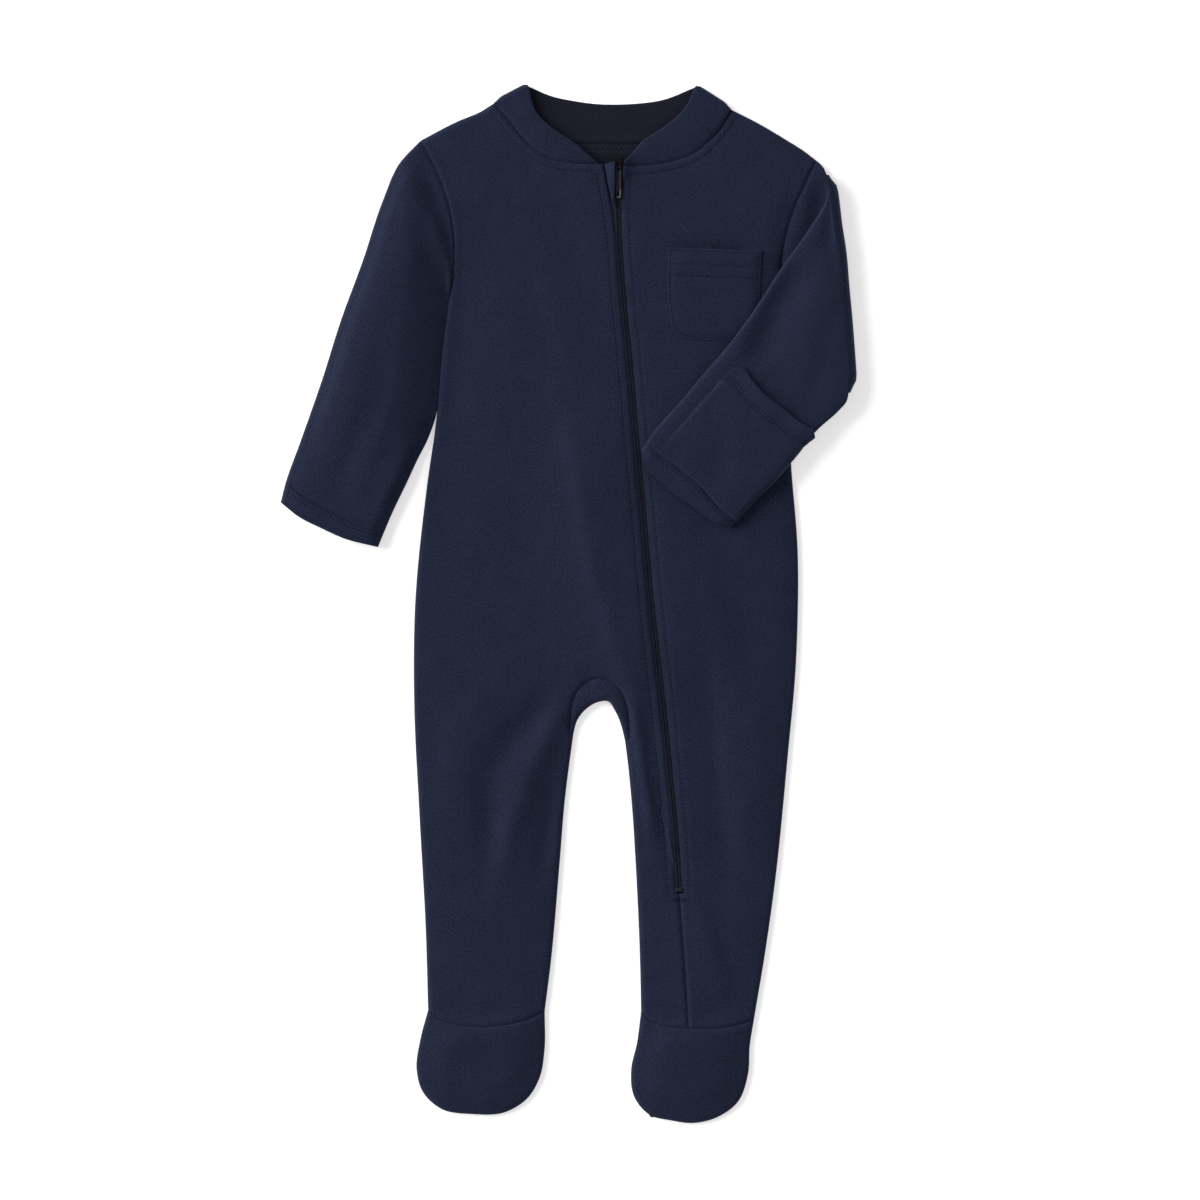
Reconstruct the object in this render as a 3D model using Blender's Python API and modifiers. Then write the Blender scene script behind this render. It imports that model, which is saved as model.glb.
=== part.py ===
"""Baby's footed zip sleeper in cotton knit, laid flat on its back.

+Y runs to the collar, +X to the wearer's left, +Z up. Tables and helper values are in
millimetres; meshes are written in metres. "Right" and "left" are the wearer's.
"""
import math

import bmesh
import bpy
import numpy as np
from mathutils import Vector
from mathutils.geometry import delaunay_2d_cdt

MM = 0.001
OBJECT_NAME = "footed_sleeper"

# ---------------------------------------------------------------- driving sizes, millimetres
WALL = 1.2               # cotton knit
GAP = 0.3                # between neighbouring pieces
TOUCH = 0.02             # points closer than this are the same
SEAM_GAP = GAP / 2       # each panel stops this far short of its seam line
EDGE_ROUND = 3.2         # width of the rounding where cloth turns over at a side
FRONT_FLOOR = WALL + GAP     # lowest level of the front, just above the back
AIR_AT_EDGE = 0.8        # room inside just behind the rounded side
AIR_MORE = 2.0           # further room in the middle of the body
AIR_REACH = 22.0         # how fast that room grows away from a side
FOOT_AIR = 0.8           # extra room in the foot
FOOT_TOP = -244.0        # the feet begin here
FOLD_FADE = 12.0         # folds fade out this close to a side
SEAM_DIP = 0.35          # a seam draws the cloth down
SEAM_DIP_WIDTH = 1.8

SLEEVE_HEIGHT = 4.4      # flat sleeve, both layers
SLEEVE_CROWN = 0.7       # its upper layer stands this much higher in the middle
SLEEVE_ROUND = 3.0       # width of its rounded edges
CUFF_HEM = 11.0          # depth of the turned cuff hem
CUFF_HEM_RISE = 0.4      # what the second layer of the hem adds
FOLD_AXIS = 5.65         # height of the line that the left sleeve folds about
MITTEN_LENGTH = 66.0     # fold-over mitten flap
MITTEN_SEAM = 9.0        # its sewn end lies this far inside the cuff's edge
MITTEN_INSET = 8.0       # and its side this far inside the forearm's upper edge
UNDERLAP = WALL + GAP    # the right cuff lies on its own mitten flap

COLLAR_HEIGHT = 5.0      # collar, front over back
COLLAR_ROUND = COLLAR_HEIGHT / 2
COLLAR_FREE_RISE = 0.6   # the free edge of the collar stands a little proud
COLLAR_SEAM_GAP = 0.5    # the collar stops this far short of the neck seam

ZIP_HALF = 2.25          # from the chain's middle to the front's edge
CHAIN_HALF = 2.1
CHAIN_TOP_BEVEL = 0.5
TAPE_HALF = 5.5
TAPE_WALL = 0.6
TAPE_SPREAD = 3.3        # the tapes part by this much on each side of the slider
ZIP_BOTTOM = -174.0      # the zip opening ends here

AXIS_X, AXIS_Y, AXIS_Z = 30.3, 261.9, 6.85   # pull tab hinge
SLIDER_WIDTH, SLIDER_TAIL_WIDTH = 5.8, 4.8
SLIDER_LENGTH = 8.6
SLIDER_LOW, SLIDER_TOP = 2.5, 6.1
SLIDER_TAIL = 2.6        # from the hinge to the slider's lower end
CROWN_HOLE, CROWN_BAR, CROWN_WIDTH = 1.0, 0.6, 1.0
PULL_LENGTH, PULL_WIDTH, PULL_END_WIDTH, PULL_THICK = 18.6, 3.2, 2.7, 0.9
PULL_BAR = 0.45          # from the hinge to each side of the tab's crossbar
PULL_WINDOW_WIDTH, PULL_WINDOW_END = 1.7, 2.3
PULL_SLOT_WIDTH, PULL_SLOT_FROM, PULL_SLOT_TO = 0.9, 15.4, 17.0
PULL_REST_DEGREES = 3.0
STOP_LENGTH, STOP_HEIGHT = 2.6, 1.5
GARAGE_LOW = 4.75        # underside of the garage along its sewn edge
GARAGE_SLOPE, GARAGE_SLIDER_SLOPE = 0.15, 0.34   # rise across it, below and over the slider
GARAGE_END = 246.0

EDGE_STEP = 11.0         # spacing of outline points on long, plain stretches
FINE_STEP = 6.0          # and round the neck and crotch
FOOT_STEP = 5.0          # and round the feet
LATTICE = 14.0           # spacing of a panel's inner points
EDGE_RINGS = (0.5, 1.5, EDGE_ROUND)

# Colours, linear
NAVY = (0.016, 0.020, 0.041)
NAVY_INSIDE = (0.012, 0.014, 0.023)
NAVY_COIL = (0.013, 0.016, 0.024)
DARK_METAL = (0.020, 0.022, 0.030)

# ---------------------------------------------------------------- lines of the cut: x, y
SHOULDER_RIGHT = [(-42.3, 299.4), (-51.6, 295.6), (-67.2, 288.9), (-87.6, 277.6)]
ARMHOLE_RIGHT = [(-87.6, 277.6), (-77.1, 255.3), (-70.2, 232.5), (-68.4, 215.1), (-69.6, 197.1)]
SIDE_RIGHT = [(-69.6, 197.1), (-75.6, 150.3), (-79.2, 109.5), (-84.6, 71.1), (-91.8, -0.9),
              (-92.4, -57.9), (-88.8, -126.9), (-84.6, -198.9), (-84.0, -243.9)]
ANKLE_RIGHT = [(-84.0, -243.9), (-75.6, -249.9), (-63.0, -253.5), (-42.6, -253.5),
               (-25.2, -249.9), (-14.7, -244.5)]
FOOT_RIGHT = [(-84.0, -243.9), (-88.9, -261.6), (-90.6, -279.5), (-86.7, -291.5),
              (-75.6, -302.1), (-57.6, -305.7), (-37.8, -304.5), (-24.6, -295.5),
              (-17.4, -283.5), (-15.0, -267.9), (-14.7, -244.5)]
INSEAM_RIGHT = [(-14.7, -244.5), (-11.4, -216.9), (-6.0, -153.9), (-3.0, -117.9), (0.3, -92.1)]
CROTCH = [(0.3, -92.1), (1.8, -81.9), (4.8, -69.9), (11.4, -62.1), (18.0, -58.5),
          (24.0, -58.3), (29.4, -64.6), (34.0, -77.1), (36.0, -92.1)]
GUSSET_SEAM = [(-2.7, -92.1), (-1.2, -82.0), (1.2, -71.7), (4.2, -55.5), (10.2, -48.3),
               (18.0, -45.3), (25.2, -46.5), (31.2, -51.9), (35.4, -61.5), (37.6, -76.0),
               (39.2, -92.1)]
INSEAM_LEFT = [(36.0, -92.1), (38.4, -117.9), (40.8, -153.9), (43.2, -216.9), (43.8, -244.5)]
ANKLE_LEFT_INNER = [(43.8, -244.5), (49.8, -250.5), (61.0, -254.1), (72.3, -254.9)]
ANKLE_LEFT_OUTER = [(72.3, -254.9), (85.0, -255.1), (99.6, -253.5), (111.6, -249.9)]
FOOT_LEFT = [(43.8, -244.5), (41.4, -263.1), (38.1, -279.9), (40.2, -294.9), (49.2, -305.7),
             (62.4, -309.3), (74.4, -311.1), (89.4, -308.1), (102.0, -299.1), (108.0, -282.9),
             (109.2, -264.9), (111.6, -249.9)]
SIDE_LEFT = [(129.0, 182.1), (135.0, 134.1), (137.4, 98.1), (137.1, 2.1), (136.2, -36.9),
             (131.4, -90.9), (123.0, -171.9), (117.6, -207.9), (111.6, -249.9)]
ARMHOLE_LEFT = [(147.6, 264.9), (142.6, 252.3), (135.0, 235.5), (131.9, 225.4),
                (128.2, 205.0), (129.0, 182.1)]
SHOULDER_LEFT = [(96.0, 295.1), (111.6, 288.9), (130.2, 278.1), (147.6, 264.9)]
NECK_SEAM_RIGHT = [(-42.3, 299.4), (-36.8, 291.3), (-27.8, 280.1), (-19.8, 272.1),
                   (-7.8, 266.1), (3.0, 264.3), (18.0, 264.0)]
NECK_SEAM_LEFT = [(96.0, 295.1), (91.2, 285.1), (84.0, 277.1), (76.2, 270.6), (65.2, 266.1),
                  (51.0, 263.3), (33.6, 262.8)]
NECK_SEAM_BACK = [(-42.3, 299.4), (-33.6, 290.1), (-19.8, 282.3), (-1.8, 278.4), (23.4, 277.5),
                  (49.2, 278.1), (70.2, 282.9), (85.2, 288.5), (96.0, 295.1)]
ZIP_LINE = [(29.8, 264.3), (29.8, 233.1), (31.4, 204.9), (33.6, 177.9), (36.9, 144.9),
            (41.1, 95.7), (45.0, 54.9), (48.5, 14.1), (52.8, -26.7), (57.9, -71.1),
            (60.6, -98.1), (64.8, -143.1), (66.7, ZIP_BOTTOM)]
LEG_SEAM = [(66.7, ZIP_BOTTOM), (69.6, -210.3), (72.3, -254.9)]
ZIP_MOUTH_RIGHT = [(21.2, 263.7), (23.7, 249.9), (26.2, 237.5), (27.5, 226.0)]
ZIP_MOUTH_LEFT = [(33.6, 262.8), (33.6, 257.1), (32.9, 245.1), (32.2, 232.0)]

# Sleeves: x, y, edge lines from the shoulder to the cuff
ARM_OUTER_RIGHT = [(-87.6, 277.6), (-101.4, 263.7), (-111.0, 242.1), (-123.0, 206.1),
                   (-136.2, 170.1), (-147.6, 134.1), (-160.2, 98.1), (-169.5, 71.1),
                   (-171.4, 62.7)]
ARM_INNER_RIGHT = [(-70.2, 197.1), (-76.4, 150.3), (-80.4, 111.0), (-85.3, 97.5),
                   (-94.8, 74.1), (-105.0, 54.3), (-114.0, 34.5)]
CUFF_RIGHT = [(-171.4, 62.7), (-160.8, 52.8), (-148.8, 46.5), (-133.8, 39.6), (-114.0, 34.5)]
ARM_OUTER_LEFT = [(147.6, 264.9), (151.6, 261.0), (154.5, 255.5)]
ARM_INNER_LEFT = [(129.0, 182.1), (147.0, 157.0), (166.8, 130.0)]
FOLD_LINE = [(154.5, 255.5), (157.0, 242.5), (159.1, 226.5), (161.4, 211.7), (163.5, 187.9),
             (165.2, 170.0), (166.4, 152.0), (166.8, 130.0)]
FOREARM_UPPER = [(154.5, 255.5), (154.4, 244.0), (151.2, 234.9), (143.4, 222.9),
                 (128.4, 201.9), (110.4, 174.3), (96.0, 154.8), (79.2, 135.3), (67.2, 120.9),
                 (52.2, 104.1), (44.1, 92.1)]
FOREARM_LOWER = [(166.8, 130.0), (166.0, 120.9), (160.8, 115.2), (150.0, 105.0),
                 (140.2, 93.9), (123.6, 74.6), (110.4, 61.3), (97.8, 45.9)]
CUFF_LEFT = [(44.1, 92.1), (46.8, 81.3), (58.2, 69.9), (75.0, 57.9), (87.0, 49.5), (97.8, 45.9)]

# Collar: x, y, along the free edge; the seam edges are the neck seams above
COLLAR_TIP_RIGHT, COLLAR_TIP_LEFT = (-23.3, 308.4), (75.4, 307.8)
COLLAR_FOOT_RIGHT, COLLAR_FOOT_LEFT = (-40.4, 297.7), (94.2, 293.6)
COLLAR_FREE_RIGHT = [(16.8, 265.6), (11.2, 270.3), (4.2, 276.3), (-6.0, 283.1),
                     (-14.8, 290.1), (-19.8, 296.5), COLLAR_TIP_RIGHT]
COLLAR_FREE_LEFT = [(34.2, 265.3), (38.2, 270.1), (44.2, 277.1), (57.0, 285.6), (65.2, 292.1),
                    (72.0, 300.3), COLLAR_TIP_LEFT]
COLLAR_FREE_BACK = [COLLAR_TIP_RIGHT, (-9.8, 304.1), (3.0, 301.2), (17.2, 299.3),
                    (30.0, 299.1), (42.0, 299.7), (55.2, 301.5), COLLAR_TIP_LEFT]

POCKET = [(59.7, 213.9), (116.4, 211.8), (115.4, 185.0), (114.6, 169.5), (111.5, 162.0),
          (104.5, 158.3), (91.0, 157.6), (77.4, 158.2), (67.4, 160.2), (62.2, 166.0),
          (60.4, 176.0)]
GARAGE = [(21.9, 263.6), (28.3, 265.8), (28.35, 257.0), (28.2, 247.0), (26.9, 238.4),
          (24.4, 249.8)]
FOREARM_MIDDLE = [(170.0, 190.0), (71.0, 68.0)]

# The largest folds of the front: height (a trough is negative), half width, and its line
FRONT_FOLDS = [
    # height, half width, points
    (-0.75, 15.0, [(-2.0, 131.0), (4.0, 107.0), (20.0, 38.0), (33.0, -28.0), (41.0, -62.0)]),
    (-0.45, 6.5, [(46.0, -72.0), (52.0, -118.0), (56.0, -150.0)]),
    (0.50, 11.0, [(0.0, -48.0), (-22.0, -106.0), (-46.0, -158.0)]),
    (-0.45, 10.0, [(-18.0, -40.0), (-48.0, -104.0), (-64.0, -160.0)]),
    (-0.45, 9.0, [(79.0, -46.0), (80.0, -84.0), (84.0, -120.0)]),
    (0.40, 9.0, [(94.0, -30.0), (98.0, -80.0), (98.0, -130.0)]),
]
FOREARM_PRESS = 0.5      # the folded sleeve presses the front down by this much
FOREARM_PRESS_REACH = 55.0


# ---------------------------------------------------------------- lines
def curve(points):
    """A smooth line through points, as a function of the share of its length from 0 to 1."""
    points = np.array(points, float)
    spans = np.linalg.norm(np.diff(points, axis=0), axis=1)
    stations = np.concatenate([[0.0], np.cumsum(spans)])
    slopes = np.diff(points, axis=0) / spans[:, None]
    weights = spans[:-1] / (spans[:-1] + spans[1:])
    middle = slopes[:-1] * (1 - weights)[:, None] + slopes[1:] * weights[:, None]
    tangents = np.vstack([slopes[:1], middle, slopes[-1:]])

    def at(share):
        reach = np.clip(np.atleast_1d(share), 0.0, 1.0) * stations[-1]
        span = np.clip(np.searchsorted(stations, reach, side="right") - 1, 0, len(spans) - 1)
        length = spans[span][:, None]
        f = ((reach - stations[span]) / spans[span])[:, None]
        start, end = points[span], points[span + 1]
        return ((2 * f**3 - 3 * f**2 + 1) * start + (f**3 - 2 * f**2 + f) * length * tangents[span]
                + (3 * f**2 - 2 * f**3) * end + (f**3 - f**2) * length * tangents[span + 1])

    at.length = stations[-1]
    return at


def sample(points, step=EDGE_STEP):
    """Points about a step apart along a smooth line."""
    line = curve(points)
    return line(np.linspace(0.0, 1.0, max(2, math.ceil(line.length / step) + 1)))


def join(*lines):
    """One closed outline from lines that meet end to end, each given in its running order."""
    outline = []
    for line in lines:
        for point in line:
            if not outline or math.dist(point, outline[-1]) > TOUCH:
                outline.append(tuple(point))
    if math.dist(outline[0], outline[-1]) < TOUCH:
        outline.pop()
    outline = np.array(outline)
    ahead = np.roll(outline, -1, axis=0)
    area = np.sum(outline[:, 0] * ahead[:, 1] - ahead[:, 0] * outline[:, 1])
    return outline if area > 0 else outline[::-1]


def inward(outline):
    """Mitred inward direction at each point of a closed, counter-clockwise outline."""
    along = np.roll(outline, -1, axis=0) - outline
    along /= np.linalg.norm(along, axis=1)[:, None]
    normal = np.stack([-along[:, 1], along[:, 0]], axis=1)
    mean = normal + np.roll(normal, 1, axis=0)
    mean /= np.linalg.norm(mean, axis=1)[:, None]
    spread = np.clip(np.sum(mean * normal, axis=1), 0.4, 1.0)
    return mean / spread[:, None]


def beside(line, distance):
    """A line moved to its left by a distance, or to its right by a negative one."""
    along = np.gradient(line, axis=0)
    along /= np.linalg.norm(along, axis=1)[:, None]
    return line + np.stack([-along[:, 1], along[:, 0]], axis=1) * distance


def nearest(points, lines):
    """Distance from each point to the nearest line, and the direction away from that line."""
    distance = np.full(len(points), np.inf)
    away = np.zeros((len(points), 2))
    for line in lines:
        start, span = line[:-1], np.diff(line, axis=0)
        offset = points[:, None] - start
        share = np.sum(offset * span, axis=2) / np.sum(span * span, axis=1)
        gap = offset - np.clip(share, 0, 1)[:, :, None] * span
        far = np.linalg.norm(gap, axis=2)
        pick = np.argmin(far, axis=1)
        rows = np.arange(len(points))
        closer = far[rows, pick] < distance
        distance[closer] = far[rows, pick][closer]
        away[closer] = gap[rows, pick][closer]
    return distance, away / np.maximum(distance, 1e-9)[:, None]


def inside(points, outline):
    """Which points lie inside a closed outline."""
    x, y = points[:, 0:1], points[:, 1:2]
    x0, y0 = outline[:, 0], outline[:, 1]
    x1, y1 = np.roll(x0, -1), np.roll(y0, -1)
    rising = (y0 > y) != (y1 > y)
    crossing = (x1 - x0) * (y - y0) / np.where(y1 == y0, 1e-9, y1 - y0) + x0
    return np.sum(rising & (x < crossing), axis=1) % 2 == 1


def patch(top, bottom, start, end):
    """A four-sided plan between two curves across and two along: patch(u along, v across)."""
    def at(u, v):
        u, v = np.broadcast_arrays(np.atleast_1d(u), np.atleast_1d(v))
        a, b = u[:, None], v[:, None]
        corners = ((1 - a) * ((1 - b) * top(0) + b * top(1))
                   + a * ((1 - b) * bottom(0) + b * bottom(1)))
        return (1 - a) * top(v) + a * bottom(v) + (1 - b) * start(u) + b * end(u) - corners
    return at


# ---------------------------------------------------------------- meshes
def finish(item, colour, roughness=0.85, metallic=0.0):
    """Give an object its own material, named for it."""
    material = bpy.data.materials.new(item.name)
    material.use_nodes = True
    shader = material.node_tree.nodes["Principled BSDF"]
    shader.inputs["Base Color"].default_value = (*colour, 1.0)
    shader.inputs["Roughness"].default_value = roughness
    shader.inputs["Metallic"].default_value = metallic
    item.data.materials.clear()
    item.data.materials.append(material)
    return item


def make_object(name, mesh, collection):
    item = bpy.data.objects.new(name, mesh)
    collection.objects.link(item)
    return item


def mesh_from(name, points, faces):
    """A closed mesh from points in millimetres, with its faces turned outwards."""
    mesh = bpy.data.meshes.new(name)
    mesh.from_pydata([tuple(p) for p in np.array(points) * MM], [], faces)
    work = bmesh.new()
    work.from_mesh(mesh)
    bmesh.ops.recalc_face_normals(work, faces=work.faces)
    work.to_mesh(mesh)
    work.free()
    mesh.shade_smooth()
    mesh.set_sharp_from_angle(angle=math.radians(40))
    return mesh


def wall_grid(name, outer, inner, closed):
    """A wall between two grids of points, rows by columns; closed joins the last column to
    the first, as in a tube."""
    rows, columns = outer.shape[:2]
    last = columns if closed else columns - 1

    def point(layer, row, column):
        return layer * rows * columns + row * columns + column % columns

    faces = []
    for layer in (0, 1):
        for row in range(rows - 1):
            for column in range(last):
                faces.append((point(layer, row, column), point(layer, row, column + 1),
                              point(layer, row + 1, column + 1), point(layer, row + 1, column)))
    for row in (0, rows - 1):
        for column in range(last):
            faces.append((point(0, row, column), point(0, row, column + 1),
                          point(1, row, column + 1), point(1, row, column)))
    if not closed:
        for column in (0, columns - 1):
            for row in range(rows - 1):
                faces.append((point(0, row, column), point(0, row + 1, column),
                              point(1, row + 1, column), point(1, row, column)))
    points = np.concatenate([outer.reshape(-1, 3), inner.reshape(-1, 3)])
    return mesh_from(name, points, faces)


def bar_mesh(name, rings):
    """A solid bar through closed rings of points, rows by columns."""
    rows, columns = rings.shape[:2]
    faces = [tuple(range(columns)), tuple((rows - 1) * columns + c for c in range(columns))]
    for row in range(rows - 1):
        for column in range(columns):
            ahead = (column + 1) % columns
            faces.append((row * columns + column, row * columns + ahead,
                          (row + 1) * columns + ahead, (row + 1) * columns + column))
    return mesh_from(name, rings.reshape(-1, 3), faces)


def plan_triangles(outline, rings, lattice):
    """Plan points and triangles that fill an outline: rings beside its edge, a lattice within."""
    points, edges = [], []
    toward = inward(outline)
    closed = np.vstack([outline, outline[:1]])
    for depth in (0.0, *rings):
        ring = outline + toward * depth
        keep = np.ones(len(ring), bool)
        if depth:
            keep = inside(ring, outline) & (nearest(ring, [closed])[0] > 0.96 * depth)
        numbers = np.cumsum(keep) - 1 + len(points)
        points.extend(ring[keep])
        for k in range(len(ring)):
            ahead = (k + 1) % len(ring)
            if keep[k] and keep[ahead]:
                edges.append((int(numbers[k]), int(numbers[ahead])))
    if lattice:
        low, high = outline.min(axis=0), outline.max(axis=0)
        row_step = lattice * math.sqrt(0.75)
        for row in range(math.floor(low[1] / row_step), math.ceil(high[1] / row_step) + 1):
            first = math.floor(low[0] / lattice) - 0.5 * (row % 2)
            xs = (first + np.arange(math.ceil((high[0] - low[0]) / lattice) + 3)) * lattice
            line = np.stack([xs, np.full(len(xs), row * row_step)], axis=1)
            margin = (rings[-1] if rings else 0.0) + 0.45 * lattice
            points.extend(line[inside(line, outline) & (nearest(line, [closed])[0] > margin)])
    result = delaunay_2d_cdt([Vector(p) for p in points], edges, [], 1, 1e-5)
    return np.array([tuple(p) for p in result[0]]), [tuple(f) for f in result[2]]


def panel(name, outline, skins, rings=EDGE_RINGS, lattice=LATTICE):
    """A cloth panel: its plan is filled, then skins gives each plan point's two surfaces."""
    outline = outline + inward(outline) * SEAM_GAP
    plan, triangles = plan_triangles(outline, rings, lattice)
    outer, inner = skins(plan)
    past_edge = nearest(inner[:, :2], [np.vstack([outline, outline[:1]])])[0] > TOUCH
    for k in np.flatnonzero(~inside(inner[:, :2], outline) & past_edge):
        corner = np.argmin(np.linalg.norm(outline - plan[k], axis=1))
        inner[k, :2] = outline[corner] + inward(outline)[corner] * WALL
    count = len(plan)
    sides = {}
    for triangle in triangles:
        for k in range(3):
            edge = (triangle[k], triangle[(k + 1) % 3])
            if edge[::-1] in sides:
                del sides[edge[::-1]]
            else:
                sides[edge] = True
    faces = triangles + [tuple(count + p for p in reversed(t)) for t in triangles]
    faces += [(b, a, count + a, count + b) for a, b in sides]
    return mesh_from(name, np.concatenate([outer, inner]), faces)


# ---------------------------------------------------------------- the front's surface
SILHOUETTE = [sample(line, FINE_STEP) for line in (
    SHOULDER_RIGHT, SIDE_RIGHT, FOOT_RIGHT, INSEAM_RIGHT, CROTCH, INSEAM_LEFT, FOOT_LEFT,
    SIDE_LEFT, SHOULDER_LEFT)]
ZIP_CENTRE = sample(ZIP_LINE)
ZIP_BELOW_MOUTH = ZIP_CENTRE[ZIP_CENTRE[:, 1] < ZIP_MOUTH_RIGHT[-1][1] - 2.0]
ZIP_EDGE_RIGHT = np.vstack([sample(ZIP_MOUTH_RIGHT, FINE_STEP), beside(ZIP_BELOW_MOUTH, -ZIP_HALF)])
ZIP_EDGE_LEFT = np.vstack([sample(ZIP_MOUTH_LEFT, FINE_STEP), beside(ZIP_BELOW_MOUTH, ZIP_HALF)])
SEAM_LINES = [ZIP_EDGE_RIGHT, ZIP_EDGE_LEFT] + [sample(line, FINE_STEP) for line in (
    ARMHOLE_RIGHT, ARMHOLE_LEFT, NECK_SEAM_RIGHT, NECK_SEAM_LEFT, GUSSET_SEAM, ANKLE_RIGHT,
    ANKLE_LEFT_INNER, ANKLE_LEFT_OUTER, LEG_SEAM)]


def ease(share):
    """A soft step from 0 to 1."""
    share = np.clip(share, 0.0, 1.0)
    return share * share * (3 - 2 * share)


def front_shape(plan, seams=True):
    """Height of the front's outer face, how far it has turned up, and the way to its middle."""
    distance, away = nearest(plan, SILHOUETTE)
    distance = np.maximum(distance - SEAM_GAP, 0.0)
    lean = np.clip(1 - distance / EDGE_ROUND, 0.0, 1.0)
    stand = np.sqrt(1 - lean**2)
    room = AIR_AT_EDGE + AIR_MORE * (1 - np.exp(-distance / AIR_REACH))
    room += FOOT_AIR * ease((FOOT_TOP - plan[:, 1]) / 20.0) * ease(distance / 18.0)
    fade = ease(distance / FOLD_FADE)
    for height, half_width, line in FRONT_FOLDS:
        across, _ = nearest(plan, [sample(line)])
        room += height * np.exp(-(across / half_width) ** 2) * fade
    pressed, _ = nearest(plan, [np.array(FOREARM_MIDDLE)])
    room -= FOREARM_PRESS * ease(1 - pressed / FOREARM_PRESS_REACH) * fade
    if seams:
        to_seam, _ = nearest(plan, SEAM_LINES)
        room -= SEAM_DIP * np.exp(-(to_seam / SEAM_DIP_WIDTH) ** 2)
    height = FRONT_FLOOR + (WALL + room) * stand
    return height, lean, stand, away


def raised(plan, height):
    return np.column_stack([plan, height])


def front_skins(plan):
    """Outer and inner face of the front, from which the wall's thickness is measured square."""
    height, lean, stand, away = front_shape(plan)
    inner_plan = plan + away * (WALL * lean)[:, None]
    return raised(plan, height), raised(inner_plan, height - WALL * stand)


def above_front_skins(plan):
    """A patch that lies on the front."""
    height = front_shape(plan)[0]
    return raised(plan, height + GAP + WALL), raised(plan, height + GAP)


def back_skins(plan):
    """The back lies flat on the surface."""
    return raised(plan, np.full(len(plan), WALL)), raised(plan, np.zeros(len(plan)))


def garage_skins(plan):
    """The zip garage climbs from the front's edge over the slider."""
    over_slider = ease((plan[:, 1] - GARAGE_END) / 10.0)
    slope = GARAGE_SLOPE + (GARAGE_SLIDER_SLOPE - GARAGE_SLOPE) * over_slider
    low = GARAGE_LOW + (plan[:, 0] - GARAGE[0][0]) * slope
    return raised(plan, low + WALL), raised(plan, low)


# ---------------------------------------------------------------- body pieces
def make_front_right(collection):
    outline = join(sample(NECK_SEAM_RIGHT, FINE_STEP), ZIP_EDGE_RIGHT, sample(LEG_SEAM),
                   sample(ANKLE_LEFT_INNER)[::-1], sample(INSEAM_LEFT)[::-1],
                   sample(GUSSET_SEAM, FINE_STEP)[::-1], sample(INSEAM_RIGHT)[::-1],
                   sample(ANKLE_RIGHT)[::-1], sample(SIDE_RIGHT)[::-1],
                   sample(ARMHOLE_RIGHT)[::-1], sample(SHOULDER_RIGHT)[::-1])
    mesh = panel("front_right", outline, front_skins)
    return finish(make_object("front_right", mesh, collection), NAVY)


def make_front_left(collection):
    outline = join(sample(NECK_SEAM_LEFT, FINE_STEP), ZIP_EDGE_LEFT, sample(LEG_SEAM),
                   sample(ANKLE_LEFT_OUTER), sample(SIDE_LEFT)[::-1],
                   sample(ARMHOLE_LEFT)[::-1], sample(SHOULDER_LEFT)[::-1])
    mesh = panel("front_left", outline, front_skins)
    return finish(make_object("front_left", mesh, collection), NAVY)


def make_back(collection):
    outline = join(sample(NECK_SEAM_BACK, FINE_STEP), sample(SHOULDER_LEFT),
                   sample(ARMHOLE_LEFT), sample(SIDE_LEFT), sample(ANKLE_LEFT_OUTER)[::-1],
                   sample(ANKLE_LEFT_INNER)[::-1], sample(INSEAM_LEFT)[::-1],
                   sample(GUSSET_SEAM, FINE_STEP)[::-1], sample(INSEAM_RIGHT)[::-1],
                   sample(ANKLE_RIGHT)[::-1], sample(SIDE_RIGHT)[::-1],
                   sample(ARMHOLE_RIGHT)[::-1], sample(SHOULDER_RIGHT)[::-1])
    mesh = panel("back_body", outline, back_skins, rings=(), lattice=0)
    return finish(make_object("back_body", mesh, collection), NAVY_INSIDE)


def make_foot(side, foot_line, ankle_line, collection):
    outline = join(ankle_line, sample(foot_line, FOOT_STEP)[::-1])
    upper = panel("foot_upper_" + side, outline, front_skins)
    finish(make_object("foot_upper_" + side, upper, collection), NAVY)
    sole = panel("foot_sole_" + side, outline, back_skins, rings=(), lattice=0)
    finish(make_object("foot_sole_" + side, sole, collection), NAVY)


def make_gusset(collection):
    """A strip folded round the crotch edge, from its front seam to its back seam."""
    seam = sample(GUSSET_SEAM, FINE_STEP)
    edge = curve(CROTCH)(np.linspace(0.0, 1.0, len(seam)))
    seam = seam + (edge - seam) / np.linalg.norm(edge - seam, axis=1)[:, None] * SEAM_GAP
    top = front_shape(seam)[0]
    outer, inner = [], []
    for e, s, height in zip(edge, seam, top):
        width = np.linalg.norm(s - e)
        across = (s - e) / width
        end = min(EDGE_ROUND, 0.85 * width)
        angles = np.radians([90, 60, 30, 0, -30, -60, -90])

        def section(reach, half):
            away = np.concatenate([[width], end - reach * np.cos(angles), [width]])
            level = height / 2 + half * np.concatenate([[1.0], np.sin(angles), [-1.0]])
            return raised(e + across * away[:, None], level)

        outer.append(section(end, height / 2))
        inner.append(section(end - WALL, height / 2 - WALL))
    mesh = wall_grid("gusset", np.array(outer), np.array(inner), closed=False)
    return finish(make_object("gusset", mesh, collection), NAVY)


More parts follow.
